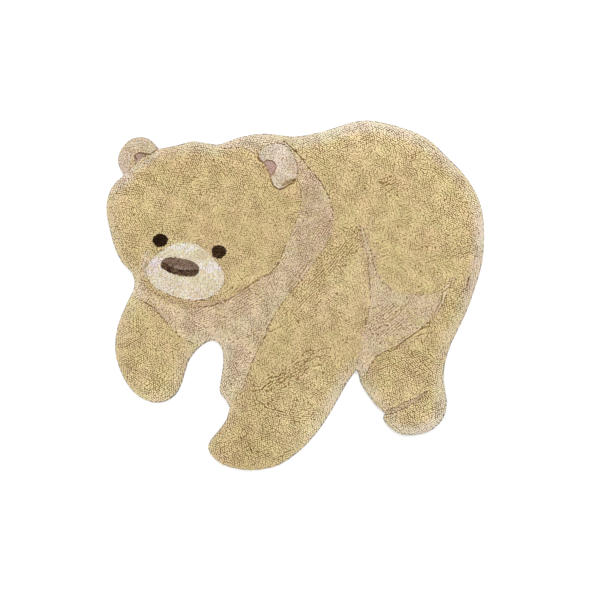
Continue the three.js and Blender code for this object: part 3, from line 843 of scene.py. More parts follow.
# Broad lighter and darker patches of the pile. Those along the top of the back and at the rump's
# right rim widen the rim's painted highlight, and those along the bottom of the near leg and the
# left of the far leg are painted shade.
SHADE_PATCHES = (
    Patch(345, 405, 75, 45, -0.03),
    Patch(-380, 420, 200, 60, -0.04),
    Patch(-240, 235, 130, 70, -0.05),
    Patch(-85, 380, 80, 60, -0.06),
    Patch(-520, -7, 50, 50, 0.08),
    Patch(-235, -85, 50, 60, -0.04),
    Patch(240, 50, 90, 120, 0.04),
    Patch(80, -30, 110, 80, 0.055),
    Patch(120, 50, 110, 130, 0.1),
    Patch(250, 550, 240, 65, 0.08),
    Patch(-382, 178, 70, 20, 0.04),
    Patch(-560, 190, 70, 90, -0.04),
    Patch(-400, 30, 120, 60, -0.04),
    Patch(60, 170, 50, 130, -0.03),
    Patch(-100, -600, 220, 40, -0.06),
    Patch(-610, -250, 50, 200, -0.04),
    Patch(70, -480, 40, 60, 0.05),
    Patch(470, -490, 60, 30, 0.04),
    Patch(-470, 185, 20, 12, 0.04),
    Patch(40, -420, 110, 130, 0.08),
    Patch(90, -296, 60, 30, 0.04),
    Patch(-165, -440, 60, 60, -0.04),
    Patch(-457, 182, 36, 16, 0.09),
    Patch(330, 575, 80, 40, 0.07),
    Patch(630, 260, 25, 60, 0.09),
    Patch(-410, 475, 80, 50, -0.03),
    Patch(-165, 500, 50, 50, -0.03),
    Patch(-200, -510, 90, 90, -0.07),
    Patch(450, -400, 130, 80, 0.07),
    Patch(-470, -330, 110, 50, 0.03),
    Patch(395, -60, 40, 25, 0.03),
    Patch(-445, 145, 24, 12, -0.1),
    Patch(-325, 135, 30, 16, -0.08),
    Patch(-300, 20, 24, 20, -0.06),
)
# Patches where the rim's painted highlight is stronger or weaker.
RIM_HIGHLIGHT_PATCHES = (
    Patch(240, 560, 330, 160, 0.7),
    Patch(620, 100, 140, 280, 0.35),
    Patch(480, -420, 170, 110, 0.6),
    Patch(-330, 530, 170, 80, 0.35),
    Patch(140, -260, 110, 110, 0.5),
    Patch(-150, -580, 220, 120, -0.35),
    Patch(-580, -280, 120, 160, -0.2),
    Patch(-610, 470, 60, 110, 0.6),
)
OPEN_PATCHES = (
    Patch(90, 50, 120, 180, 0.14),
    Patch(60, 320, 60, 120, 0.11),
    Patch(-90, -400, 120, 130, 0.03),
    Patch(400, -260, 90, 110, 0.04),
)
MIXED_PATCHES = {
    "pile_head": (Patch(-375, -28, 125, 17, 1.6), Patch(-150, 18, 60, 8, 0.5)),
    "pile_neck": (Patch(-500, -15, 62, 45, 0.6), Patch(-136, 12, 40, 26, 0.35)),
    "pile_flank": (Patch(398, -72, 20, 20, 0.8), Patch(340, -160, 14, 20, 0.9)),
    "pile_body": (Patch(262, 90, 16, 80, 0.7), Patch(270, 240, 8, 30, 0.4),
                  Patch(238, 182, 18, 52, 0.6)),
    "eye_right": (Patch(-290, 142, 90, 90, 1.6),),
    "muzzle": (Patch(-498, 118, 32, 34, 0.9), Patch(-290, 95, 40, 16, 0.95),
               Patch(-382, 168, 80, 13, 0.7), Patch(-345, -14, 50, 9, 0.7)),
    "ear_far": (Patch(-550, 490, 110, 110, 0.7),),
    # The near ear's second patch tints the crescent along its lower edge, which a crease darkens:
    # painted shade.
    "ear_near": (Patch(0, 450, 30, 60, 0.3), Patch(-24, 388, 22, 10, 1.6)),
    "nose_top": (Patch(-412, 100, 30, 4, 0.7), Patch(-378, 92, 26, 4, 0.7)),
}
# Lighter lines along ridges of the honey pile, painted highlight: here dark is how far they turn to
# the rim's colour.
PALE_LINES = (
    Crease(((-578, 420), (-538, 446), (-503, 474), (-470, 496)), width=15.0, dark=0.95),
    Crease(((-510, 146), (-520, 122), (-521, 98), (-514, 74)), width=10.0, dark=0.95),
)


def rim_highlight_strength(points: np.ndarray) -> np.ndarray:
    """Gives how strong the rim's painted highlight is at each point, from 0 to about 1."""
    strength = BASE_RIM_HIGHLIGHT + sum(patch.effect(points) for patch in RIM_HIGHLIGHT_PATCHES)
    return np.clip(strength * (1 + RIM_HIGHLIGHT_DRIFT.at(points)), 0, 1)


def shade_at(points: np.ndarray) -> np.ndarray:
    """Gives the lightness at plan points: creases darken it with painted shade, and broad patches
    change it.

    Args:
        points: plan points, (n, 2).

    Returns:
        The lightness, (n,), 1 for no change.
    """
    shade = np.ones(len(points))
    for line in CREASES:
        strength, _ = line.effect(points)
        shade = np.minimum(shade, 1 - DARKEST_CREASE_SHADE * strength * line.dark)
    for patch in SHADE_PATCHES:
        shade = shade + patch.effect(points)
    return shade


def thin_at(points: np.ndarray) -> np.ndarray:
    """Gives how thin the pile is at plan points, from 0 for full to 1, in soft loose patches."""
    return np.clip(THINNESS + sum(drift.at(points) for drift in THIN_DRIFTS), 0, 1)


@dataclass
class Planting:
    """The places of a field's locks and how each one stands."""

    spots: np.ndarray
    base: np.ndarray
    top: np.ndarray
    lean: np.ndarray
    radius: np.ndarray
    # rim is each lock's share of the rim's painted highlight, and shade its own painted shade.
    rim: np.ndarray
    tint: np.ndarray
    shade: np.ndarray

    def __len__(self) -> int:
        """Gives the number of locks."""
        return len(self.spots)

    def only(self, chosen: np.ndarray) -> "Planting":
        """Gives the locks that a mask chooses."""
        return Planting(*(getattr(self, item.name)[chosen] for item in fields(self)))

    def joined(self, other: "Planting") -> "Planting":
        """Gives these locks and another planting's."""
        return Planting(*(np.concatenate([getattr(self, item.name), getattr(other, item.name)])
                          for item in fields(self)))


@dataclass
class PieceMesh:
    """Vertices, faces and named numbers gathered for one mesh."""

    vertices: list[np.ndarray] = field(default_factory=list)
    quads: list[np.ndarray] = field(default_factory=list)
    triangles: list[np.ndarray] = field(default_factory=list)
    numbers: dict[str, list[np.ndarray]] = field(default_factory=dict)
    count: int = 0

    def add(self, vertices: np.ndarray, quads: np.ndarray, triangles: np.ndarray,
            **numbers: np.ndarray) -> None:
        """Adds a group of vertices with its faces and a number for each vertex and name.

        Args:
            vertices: places, (n, 3).
            quads, triangles: faces by vertex, (n, 4) and (n, 3).
            numbers: named numbers, (n,) each.
        """
        self.vertices.append(vertices)
        self.quads.append(quads + self.count)
        self.triangles.append(triangles + self.count)
        for name, values in numbers.items():
            self.numbers.setdefault(name, []).append(values)
        self.count += len(vertices)

    def build(self, name: str, material: bpy.types.Material) -> bpy.types.Object:
        """Makes the object, smooth shaded, at the origin.

        Args:
            name: the object's name.
            material: its material.

        Returns:
            The new object, linked to the scene.
        """
        vertices = np.concatenate(self.vertices)
        quads = np.concatenate(self.quads) if self.quads else np.empty((0, 4), int)
        triangles = np.concatenate(self.triangles) if self.triangles else np.empty((0, 3), int)
        loops = np.concatenate([quads.ravel(), triangles.ravel()]).astype(np.int32)
        sizes = np.concatenate([np.full(len(quads), 4), np.full(len(triangles), 3)])
        starts = np.concatenate([[0], np.cumsum(sizes)[:-1]]).astype(np.int32)
        mesh = bpy.data.meshes.new(name)
        mesh.vertices.add(len(vertices))
        mesh.vertices.foreach_set("co", vertices.astype(np.float32).ravel())
        mesh.loops.add(len(loops))
        mesh.loops.foreach_set("vertex_index", loops)
        mesh.polygons.add(len(sizes))
        mesh.polygons.foreach_set("loop_start", starts)
        mesh.polygons.foreach_set("use_smooth", np.ones(len(sizes), bool))
        for label, parts in self.numbers.items():
            layer = mesh.attributes.new(label, "FLOAT", "POINT")
            layer.data.foreach_set("value", np.concatenate(parts).astype(np.float32))
        mesh.update(calc_edges=True)
        mesh.validate()
        mesh.materials.append(material)
        return put_in_scene(name, mesh)


@dataclass(frozen=True)
class Lock:
    """The shape of one lock of yarn: a short bent tube with a rounded, uneven tip."""

    sides: int = 5
    plies: int = 2
    lobes: float = 0.14
    stations: tuple[float, ...] = (0.0, 0.45, 0.8)
    girths: tuple[float, ...] = (0.8, 1.0, 0.74)
    bend: float = 1.3
    twist: float = 0.6
    unevenness: float = 0.12

    def add_to(self, piece: PieceMesh, planting: Planting, rng: np.random.Generator) -> None:
        """Adds a planting's locks to a piece as one block of arrays.

        At share t of its height a lock's middle has moved by lean times t to the power of bend.
        Its section is a ring whose radius is the lock's radius times the girth at t, with a lobe
        for each ply and each corner a little uneven. It is turned by a random angle. The tip is
        one point.

        Args:
            piece: takes the faces.
            planting: the locks.
            rng: random numbers.
        """
        count, sides, rings = len(planting), self.sides, len(self.stations)
        stations = np.array(self.stations)
        girths = np.array(self.girths)
        round_ring = np.arange(sides) * 2 * np.pi / sides
        turn = rng.uniform(0, 2 * np.pi, (count, 1, 1))
        twist = rng.uniform(-self.twist, self.twist, (count, 1, 1)) * stations[None, :, None]
        angle = turn + twist + round_ring
        uneven = 1 + rng.uniform(-self.unevenness, self.unevenness, (count, rings, sides))
        lobed = 1 + self.lobes * np.cos(round_ring * self.plies)
        reach = planting.radius[:, None, None] * girths[None, :, None] * uneven * lobed
        tall = planting.top - planting.base
        moved = planting.lean[:, None, :] * (stations ** self.bend)[None, :, None]
        middle = planting.spots[:, None, :] + moved
        height = planting.base[:, None] + tall[:, None] * stations[None, :]
        ring = np.empty((count, rings, sides, 3))
        ring[..., 0] = middle[:, :, None, 0] + reach * np.cos(angle)
        ring[..., 1] = middle[:, :, None, 1] + reach * np.sin(angle)
        ring[..., 2] = height[:, :, None]
        tip = np.empty((count, 1, 3))
        tip[:, 0, :2] = planting.spots + planting.lean
        tip[:, 0, 2] = planting.top
        points = np.concatenate([ring.reshape(count, rings * sides, 3), tip], axis=1)
        size = rings * sides + 1
        first = (np.arange(count) * size)[:, None, None]
        quads, under = tube_faces(sides, rings)
        last = np.arange(sides) + sides * (rings - 1)
        top = np.stack([last, np.roll(last, -1), np.full(sides, size - 1)], axis=1)
        caps = np.concatenate([top, under])
        rise = np.concatenate([np.repeat(stations, sides), [1.0]])

        def each(values: np.ndarray) -> np.ndarray:
            """Repeats a value of each lock for its vertices."""
            return np.repeat(values, size)

        flat = points.reshape(-1, 3)
        # Each vertex keeps the painted shade of creases and patches at its place, times its lock's
        # own shade.
        piece.add(flat, (quads[None] + first).reshape(-1, 4), (caps[None] + first).reshape(-1, 3),
                  rise=np.tile(rise, count), lot=each(rng.uniform(0, 1, count)),
                  kind=each(rng.uniform(0, 1, count)), rim=each(planting.rim),
                  tint=each(planting.tint), shade=shade_at(flat[:, :2]) * each(planting.shade))


@dataclass(frozen=True)
class Rows:
    """How a field's locks are set out: staggered rows, shaken and gently bent, sizes in mm."""

    pitch: float = 6.9
    gap: float = 0.87
    turn: float = 0.0
    bend: float = 4.0
    jitter: float = 0.15

    def places(self, low: np.ndarray, high: np.ndarray, rng: np.random.Generator) -> np.ndarray:
        """Gives the locks' plan points over a box.

        The rows lie the gap's share of the pitch apart and every second one is half a pitch along.
        They are bent by smooth noise, turned and moved to the box's middle.

        Args:
            low, high: the box's corners, in metres.
            rng: random numbers.

        Returns:
            Plan points, (n, 2).
        """
        middle, half = (low + high) / 2, np.linalg.norm(high - low) / 2
        pitch = self.pitch * MM
        columns = np.arange(-half, half, pitch)
        rows = np.arange(-half, half, pitch * self.gap)
        x = columns[None, :] + (np.arange(len(rows)) % 2)[:, None] * pitch / 2
        y = np.repeat(rows[:, None], len(columns), axis=1)
        flat = np.stack([x.ravel(), y.ravel()], axis=1)
        flat += rng.uniform(-self.jitter, self.jitter, flat.shape) * pitch
        flat[:, 1] += self.bend * MM * ROW_DRIFT.at(flat * [0.5, 1.0])
        turn = math.radians(self.turn)
        spin = np.array([[math.cos(turn), math.sin(turn)], [-math.sin(turn), math.cos(turn)]])
        placed = flat @ spin + middle
        return placed[((placed > low) & (placed < high)).all(axis=1)]


@dataclass(frozen=True)
class ShadeLocks:
    """Thin dark locks of painted shade: how high they stand over the solid, their lean and radii,
    in mm.
    """

    tops: tuple[float, float]
    lean: float
    radii: tuple[float, float]

    def plant(self, spots: np.ndarray, height: np.ndarray, rng: np.random.Generator) -> Planting:
        """Plants the locks in full light.

        Args:
            spots: their plan points, (n, 2).
            height: the solid's height at each.
            rng: random numbers.

        Returns:
            The planting.
        """
        count, none = len(spots), np.zeros(len(spots))
        top = height + rng.uniform(*self.tops, count) * MM
        lean = rng.normal(0, self.lean, (count, 2)) * MM
        radius = rng.uniform(*self.radii, count) * MM
        return Planting(spots, np.maximum(top - THIN_LOCK, LOWEST_ROOT), top, lean, radius, none,
                        none, none + 1)


@dataclass(frozen=True)
class RimRows:
    """Three rows of locks that lie outwards over the hem, from the lowest up, sizes in mm."""

    pitch_share: float = 0.62
    reach: float = 7.5
    inward: tuple[float, ...] = (1.5, 3.0, 5.0)
    roots: tuple[float, ...] = (3.6, 5.0, 7.5)
    tops: tuple[float, ...] = (8.0, 11.5, 15.0)
    outward: tuple[float, ...] = (3.2, 4.4, 5.4)
    # Each row's painted shade, darkest at the lowest.
    tones: tuple[float, ...] = (0.79, 0.81, 0.85)
    shake: float = 0.8
    out_range: tuple[float, float] = (0.75, 1.1)
    sway: float = 1.0
    girth: float = 0.85
    # How much more of the rim's painted highlight these rows take.
    extra_highlight: float = 0.3


@dataclass
class PileField:
    """One field of pile, sizes in mm: locks in rows over a ground darkened with painted shade, on a
    node's shape.

    Patches are the field's pieces, by what their name ends in and their middle.
    """

    node: str
    yarn: Yarn
    rows: Rows = Rows()
    combed: tuple[tuple[Rows, tuple[Patch, ...]], ...] = ()
    lean: float = 4.2
    lean_turn: float = -90.0
    lean_spread: float = 0.2
    lean_range: tuple[float, float] = (0.7, 1.2)
    radius: float = 3.95
    radius_range: tuple[float, float] = (0.9, 1.06)
    bare: float = 0.003
    thinning: float = 0.15
    specks: float = 0.08
    speck_share: tuple[float, float] = (0.3, 1.7)
    # How dark the specks are: painted shade in the gaps between locks.
    speck_shades: tuple[float, float] = (0.25, 0.6)
    speck_locks: ShadeLocks = ShadeLocks((-0.6, 0.8), 1.0, (1.3, 2.1))
    proud: float = 0.8
    uneven_top: float = 0.405
    ground_share: float = 0.6
    root_depth: float = 9.0
    rim_width: float = 26.0
    rim_lean: float = 6.0
    rim_lean_power: float = 1.5
    rim_fullness: float = 0.14
    # How much of the rim's painted highlight the field takes, and the width and fall of its band.
    rim_pale: float = 1.0
    pale_width: float = 46.0
    pale_power: float = 0.8
    # Painted shade on the locks along the rug's outer edge, and its width.
    rim_dark: float = 0.09
    rim_dark_width: float = 12.0
    rim: RimRows = RimRows()
    tone: float = 1.0
    seam_width: float = 5.0
    seam_lean: float = 1.5
    seam_stiffness: float = 0.6
    seam_mix: float = 0.0
    seam_mix_width: float = 9.0
    seam_step: float = 2.0
    seam_shake: float = 0.35
    seam_clear: float = 0.8
    # How evenly dark the rows of thin locks on the creases are: painted shade.
    seam_evenness: float = 0.85
    seam_range: tuple[float, float] = (0.3, 1.1)
    seam_darkest: float = 0.12
    seam_locks: ShadeLocks = ShadeLocks((-1.2, 0.2), 0.4, (1.45, 2.2))
    tint_range: tuple[float, float] = (0.6, 1.0)
    seed: int = 0
    patches: dict[str, tuple[float, float]] = field(default_factory=lambda: {"": (0, 0)})
    lock: Lock = Lock()

    def __post_init__(self) -> None:
        """Reads the node's shape from the frame."""
        self.shape = node_triangles(self.node)
        self.surface = TopSurface(self.shape)
        self.outline = Footprint(self.shape)
        self.rng = np.random.default_rng(SEED + self.seed)

    def places(self) -> np.ndarray:
        """Gives the locks' plan points over the node's whole box, some areas in rows of their own.

        Returns:
            Plan points, (n, 2).
        """
        low = self.shape.reshape(-1, 3).min(axis=0)[:2]
        high = self.shape.reshape(-1, 3).max(axis=0)[:2]
        spots = self.rows.places(low, high, self.rng)
        for rows, areas in self.combed:
            lined = rows.places(low, high, self.rng)
            outside = sum(patch.effect(spots) for patch in areas) < 0.5
            inside = sum(patch.effect(lined) for patch in areas) >= 0.5
            spots = np.concatenate([spots[outside], lined[inside]])
        return spots

    def off_creases(self, spots: np.ndarray) -> np.ndarray:
        """Moves the plan points that lie close to a crease out to most of a lock's radius.

        Args:
            spots: plan points, (n, 2).

        Returns:
            The moved points.
        """
        for line in CREASES:
            if line.seam > 0:
                ends = np.array(line.points) * MM
                gap, away = nearest_on(spots, ends[:-1], ends[1:])
                short = np.clip(self.radius * self.seam_clear * MM - gap, 0, None)
                spots = spots + away * short[:, None]
        return spots

    def leaning(self, spots: np.ndarray) -> np.ndarray:
        """Gives each lock's own lean, (n, 2), in a direction that wanders from place to place.

        Args:
            spots: the locks' plan points, (n, 2).

        Returns:
            Moves of their tips, (n, 2), in metres.
        """
        count = len(spots)
        turn = (math.radians(self.lean_turn) + LEAN_DRIFT.at(spots)
                + self.lean_spread * self.rng.normal(0, 1, count))
        reach = self.lean * MM * self.rng.uniform(*self.lean_range, count)
        return np.stack([np.cos(turn), np.sin(turn)], axis=1) * reach[:, None]

    def planting(self, cloth: Footprint) -> Planting:
        """Plants the field.

        Each lock reaches the node's surface and a little over it. It leans by the field's own
        lean, tips away from a seam or a crease, and splays out over the rim. A few locks are left
        out in loose groups, which leaves dark holes.

        Args:
            cloth: the cloth's outline, whose edge the rim follows.

        Returns:
            The planting.
        """
        rng = self.rng
        spots = self.off_creases(self.places())
        height = self.surface.height(spots)
        rim_gap, from_rim = cloth.nearest(spots)
        bare = self.bare * (1 + BARE_DRIFT.at(spots)) * (rim_gap > self.rim_width * MM)
        kept = np.isfinite(height) & (rng.uniform(0, 1, len(spots)) > bare)
        spots, height, rim_gap, from_rim = (
            item[kept] for item in (spots, height, rim_gap, from_rim))
        count = len(spots)
        seam_gap, from_seam = self.outline.nearest(spots)
        near_rim = nearness(rim_gap, self.rim_width)
        inner = near_rim <= 0.5
        near_seam = nearness(seam_gap, self.seam_width) * inner
        lean = self.leaning(spots) * (1 - near_rim)[:, None]
        lean *= (1 - self.seam_stiffness * near_seam)[:, None]
        lean += from_seam * (near_seam * self.seam_lean * MM)[:, None]
        lean -= from_rim * (near_rim ** self.rim_lean_power * self.rim_lean * MM)[:, None]
        drop = np.zeros(count)
        for line in CREASES:
            strength, away = line.effect(spots)
            drop = np.maximum(drop, strength * line.depth * MM)
            lean += away * (strength * line.parting * MM)[:, None]
        top = (height + self.proud * MM + rng.normal(0, self.uneven_top, count) * MM
               + TIP_DRIFT.at(spots) * MM - drop)
        top = np.minimum(top, height + HIGHEST_TIP)
        base = np.maximum(top - self.root_depth * MM, LOWEST_ROOT)
        top = np.maximum(top, base + SHORTEST_LOCK)
        openness = self.thinning * thin_at(spots)
        openness += sum(patch.effect(spots) for patch in OPEN_PATCHES)
        openness = openness * (1 - near_rim) - self.rim_fullness * near_rim
        radius = self.radius * MM * rng.uniform(*self.radius_range, count) * (1 - openness)
        # Painted highlight on the pile near the rim, and on the pale lines of the honey pile.
        pale = nearness(rim_gap, self.pale_width) ** self.pale_power * rim_highlight_strength(spots)
        for line in PALE_LINES if self.yarn is Yarns.HONEY else ():
            pale = np.maximum(pale, line.dark * line.effect(spots)[0])
        mixed = self.seam_mix * np.exp(-seam_gap / (self.seam_mix_width * MM)) * inner
        for patch in MIXED_PATCHES.get(self.node, ()):
            mixed = mixed + patch.effect(spots)
        tint = (rng.uniform(0, 1, count) < mixed) * rng.uniform(*self.tint_range, count)
        # Painted shade on the locks close to the rug's outer edge, times the field's tone.
        shade = self.tone * (1 - self.rim_dark * nearness(rim_gap, self.rim_dark_width))
        return Planting(spots, base, top, lean, radius, np.clip(pale, 0, 1) * self.rim_pale, tint,
                        shade)

    def speck_rows(self, spots: np.ndarray) -> Planting:
        """Plants thin dark locks, painted shade in the gaps, beside a few of the field's own,
        mostly where the pile is thin.

        Args:
            spots: the plan points of the field's locks.

        Returns:
            The planting.
        """
        least, more = self.speck_share
        share = self.specks * (least + more * thin_at(spots) ** 2)
        chosen = spots[self.rng.uniform(0, 1, len(spots)) < share]
        turn = self.rng.uniform(0, 2 * np.pi, len(chosen))
        chosen = chosen + np.stack([np.cos(turn), np.sin(turn)], axis=1) * self.radius * MM
        height = self.surface.height(chosen)
        held = np.isfinite(height)
        planting = self.speck_locks.plant(chosen[held], height[held], self.rng)
        planting.shade = self.rng.uniform(*self.speck_shades, len(planting)) * self.tone
        return planting

    def crease_rows(self) -> Planting:
        """Plants a row of thin locks along every crease in the field, unevenly dark: painted shade.

        Returns:
            The planting.
        """
        lines = [line for line in CREASES if line.seam > 0]
        walks = [line.walk(self.seam_step) for line in lines]
        spots = np.concatenate(walks)
        dark = np.repeat([line.seam for line in lines], [len(walk) for walk in walks])
        spots = spots + self.rng.normal(0, self.seam_shake, spots.shape) * MM
        spots += np.stack([drift.at(spots) for drift in SEAM_DRIFTS], axis=1) * MM
        height = self.surface.height(spots)
        held = np.isfinite(height)
        planting = self.seam_locks.plant(spots[held], height[held], self.rng)
        uneven = self.seam_evenness + SEAM_SHADE_DRIFT.at(planting.spots)
        dark = dark[held] * np.clip(uneven, *self.seam_range)
        planting.shade = np.clip(1 - dark, self.seam_darkest, 1) * self.tone
        return planting

    def rim_rows(self, cloth: Footprint) -> Planting:
        """Plants rows of locks along the open rim, which lie outwards over the hem.

        Args:
            cloth: the cloth's outline.

        Returns:
            The planting of the rim.
        """
        rim, rng = self.rim, self.rng
        start, end = self.outline.start, self.outline.end
        length = np.linalg.norm(end - start, axis=1)
        gap = self.rows.pitch * rim.pitch_share * MM
        counts = np.maximum(np.round(length / gap).astype(int), 1)
        index = np.repeat(np.arange(len(start)), counts)
        first = np.repeat(np.cumsum(counts) - counts, counts)
        share = (np.arange(counts.sum()) - first + 0.5) / counts[index]
        spots = start[index] + (end - start)[index] * share[:, None]
        rim_gap, from_rim = cloth.nearest(spots)
        open_rim = rim_gap < rim.reach * MM
        spots, from_rim = spots[open_rim], from_rim[open_rim]
        count = len(spots)
        level = rng.integers(0, len(rim.tops), count)
        inward, base, top, out, tone = (
            np.array(values)[level]
            for values in (rim.inward, rim.roots, rim.tops, rim.outward, rim.tones))
        top = top * MM + rng.normal(0, rim.shake, count) * MM
        shaken = rng.normal(0, rim.shake, (count, 2)) * MM
        spots = spots + from_rim * (inward * MM)[:, None] + shaken
        out = out * rng.uniform(*rim.out_range, count) * MM
        lean = -from_rim * out[:, None] + rng.normal(0, rim.sway, (count, 2)) * MM
        # The rim rows take more of the rim's painted highlight, and each row its own painted shade.
        pale = np.clip(rim.extra_highlight + rim_highlight_strength(spots), 0, 1) * self.rim_pale
        return Planting(spots, base * MM, top, lean,
                        np.full(count, self.radius * rim.girth * MM), pale, np.zeros(count),
                        tone * self.tone)

    def add_ground(self, piece: PieceMesh) -> None:
        """Adds the ground between the locks, darkened with painted shade: the node's own solid,
        pressed lower.

        Every height above the node's foot is a fixed share of what it was.

        Args:
            piece: takes the ground.
        """
        flat = self.shape.reshape(-1, 3)
        spots, index = np.unique(np.round(flat, DECIMALS), axis=0, return_inverse=True)
        foot = spots[:, 2].min()
        ground = spots.copy()
        ground[:, 2] = foot + (spots[:, 2] - foot) * self.ground_share
        triangles = index.reshape(-1, 3)
        whole = ((triangles[:, 0] != triangles[:, 1]) & (triangles[:, 1] != triangles[:, 2])
                 & (triangles[:, 2] != triangles[:, 0]))
        piece.add(ground, np.empty((0, 4), int), triangles[whole],
                  **{name: np.full(len(ground), value) for name, value in GROUND.items()})

    def build(self, cloth: Footprint) -> list[bpy.types.Object]:
        """Makes the field's pieces, each riding on the rug and replacing its node.

        Args:
            cloth: the cloth's outline.

        Returns:
            The new objects.
        """
        main = self.planting(cloth)
        whole = main.joined(self.rim_rows(cloth)).joined(self.crease_rows())
        whole = whole.joined(self.speck_rows(main.spots))
        centres = np.array(list(self.patches.values())) * MM
        gaps = np.linalg.norm(whole.spots[:, None, :] - centres[None], axis=2)
        nearest = gaps.argmin(axis=1)
        made = []
        for index, name in enumerate(self.patches):
            piece = PieceMesh()
            if index == 0:
                self.add_ground(piece)
            chosen = whole.only(nearest == index)
            self.lock.add_to(piece, chosen, self.rng)
            label = f"{self.node}_tufts{name}"
            item = piece.build(label, Yarns.material(self.yarn))
            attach(item, ROOT_BODY)
            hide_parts(self.node)
            faces = sum(len(quads) * 2 for quads in piece.quads)
            faces += sum(len(triangles) for triangles in piece.triangles)
            LOG.info("%s: %d locks, %d triangles", label, len(chosen), faces)
            made.append(item)
        return made


@dataclass
class HemmedCloth:
    """The cotton cloth under the pile: one flat piece with a rounded hem and a row of stitches."""

    node: str = "base_cloth"
    step: float = 5.0
    overhang: float = 3.0
    levels: tuple[tuple[float, float], ...] = (
        (0.0, 1.4), (0.35, 0.3), (1.5, 0.0), (2.65, 0.3), (3.0, 1.4))
    stitch_pitch: float = 12.0
    stitch_length: float = 6.5
    stitch_radius: float = 0.55
    stitch_inset: float = 1.9
    stitch_level: float = 2.45
    stitch_bow: float = 0.75
    stitch_sides: int = 5
    stitch_rings: int = 5
    stitch_girths: tuple[float, float] = (0.55, 0.45)

    def __post_init__(self) -> None:
        """Reads the cloth's outline from the frame."""
        self.shape = node_triangles(self.node)
        self.outline = Footprint(self.shape)

    def even_loop(self, gap: float) -> tuple[np.ndarray, np.ndarray]:
        """Gives points at an even gap round the outline, and the inward unit normal at each.

        The points are interpolated on the running length. The normal is the tangent between the
        two neighbours, turned by a right angle towards the cloth.

        Args:
            gap: distance between points, in mm.

        Returns:
            Points (n, 2) and normals (n, 2).
        """
        loop = self.outline.loop()
        loop = loop if loop_area(loop) > 0 else loop[::-1]
        closed = np.vstack([loop, loop[:1]])
        run = np.concatenate([[0], np.cumsum(np.linalg.norm(np.diff(closed, axis=0), axis=1))])
        count = int(run[-1] / (gap * MM))
        at = np.linspace(0, run[-1], count, endpoint=False)
        points = np.stack([np.interp(at, run, closed[:, axis]) for axis in (0, 1)], axis=1)
        tangent = np.roll(points, -1, axis=0) - np.roll(points, 1, axis=0)
        tangent /= np.linalg.norm(tangent, axis=1, keepdims=True)
        return points, np.stack([-tangent[:, 1], tangent[:, 0]], axis=1)

    def hem_line(self) -> tuple[np.ndarray, np.ndarray]:
        """Gives the hem's outer edge, the outline widened by the overhang, and its normals."""
        points, inward = self.even_loop(self.step)
        return points - inward * self.overhang * MM, inward

    def sheet(self) -> bpy.types.Object:
        """Makes the cloth: rings of the outline, drawn in at the hem's edge, closed by flat faces.

        Returns:
            The cloth's object.
        """
        points, inward = self.hem_line()
        rings = [np.column_stack([points + inward * inset * MM, np.full(len(points), z * MM)])
                 for z, inset in self.levels]
        vertices = np.concatenate(rings)
        count = len(points)
        index = np.arange(count)
        quads, _ = tube_faces(count, len(rings))
        faces = [*quads.tolist(), index[::-1].tolist(),
                 (index + count * (len(rings) - 1)).tolist()]
        mesh = bpy.data.meshes.new("hemmed_cloth")
        mesh.from_pydata(vertices.tolist(), [], faces)
        mesh.update()
        mesh.polygons.foreach_set("use_smooth", np.ones(len(mesh.polygons), bool))
        return put_in_scene("hemmed_cloth", mesh)

    def stitches(self) -> bpy.types.Object:
        """Makes the row of hem stitches: short rounded threads laid along the outline.

        Each stitch is a tube whose rings rise out of the cloth and sink back into it as half a
        cosine wave.

        Returns:
            The stitches' object.
        """
        points, inward = self.even_loop(self.stitch_pitch)
        along = np.stack([inward[:, 1], -inward[:, 0]], axis=1)
        middle = points + inward * self.stitch_inset * MM
        sides, rings, count = self.stitch_sides, self.stitch_rings, len(points)
        shares = np.linspace(-0.5, 0.5, rings)
        bow = np.cos(shares * np.pi)
        end_girth, swelling = self.stitch_girths
        radius = self.stitch_radius * MM * (end_girth + swelling * bow)
        angle = np.arange(sides) * 2 * np.pi / sides
        vertices = np.empty((count, rings, sides, 3))
        run = (shares * self.stitch_length * MM)[:, None]
        centre = middle[:, None, :] + along[:, None, :] * run
        across = np.cos(angle) * radius[:, None]
        rise = (self.stitch_level + bow[:, None] * self.stitch_bow) * MM
        rise = rise + np.sin(angle) * radius[:, None]
        vertices[..., :2] = (centre[:, :, None, :]
                             + inward[:, None, None, :] * across[None, :, :, None])
        vertices[..., 2] = rise
        size = rings * sides
        first = (np.arange(count) * size)[:, None, None]
        quads, low = tube_faces(sides, rings)
        high = low[:, [0, 2, 1]] + sides * (rings - 1)
        piece = PieceMesh()
        piece.add(vertices.reshape(-1, 3), (quads[None] + first).reshape(-1, 4),
                  (np.concatenate([low, high])[None] + first).reshape(-1, 3))
        thread = Canvas(name="hem_thread", warp=(196, 186, 172), weft=(172, 162, 149))
        return piece.build("hem_stitches", thread.build())

    def build(self, pile: list[bpy.types.Object]) -> None:
        """Args:
            pile: the pieces tufted into the cloth; not used.
        """
        cloth = self.sheet()
        cloth.data.materials.append(Canvas().build())
        stitches = self.stitches()
        for item in (cloth, stitches):
            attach(item, ROOT_BODY)
        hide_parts(self.node)
        loop, _ = self.hem_line()


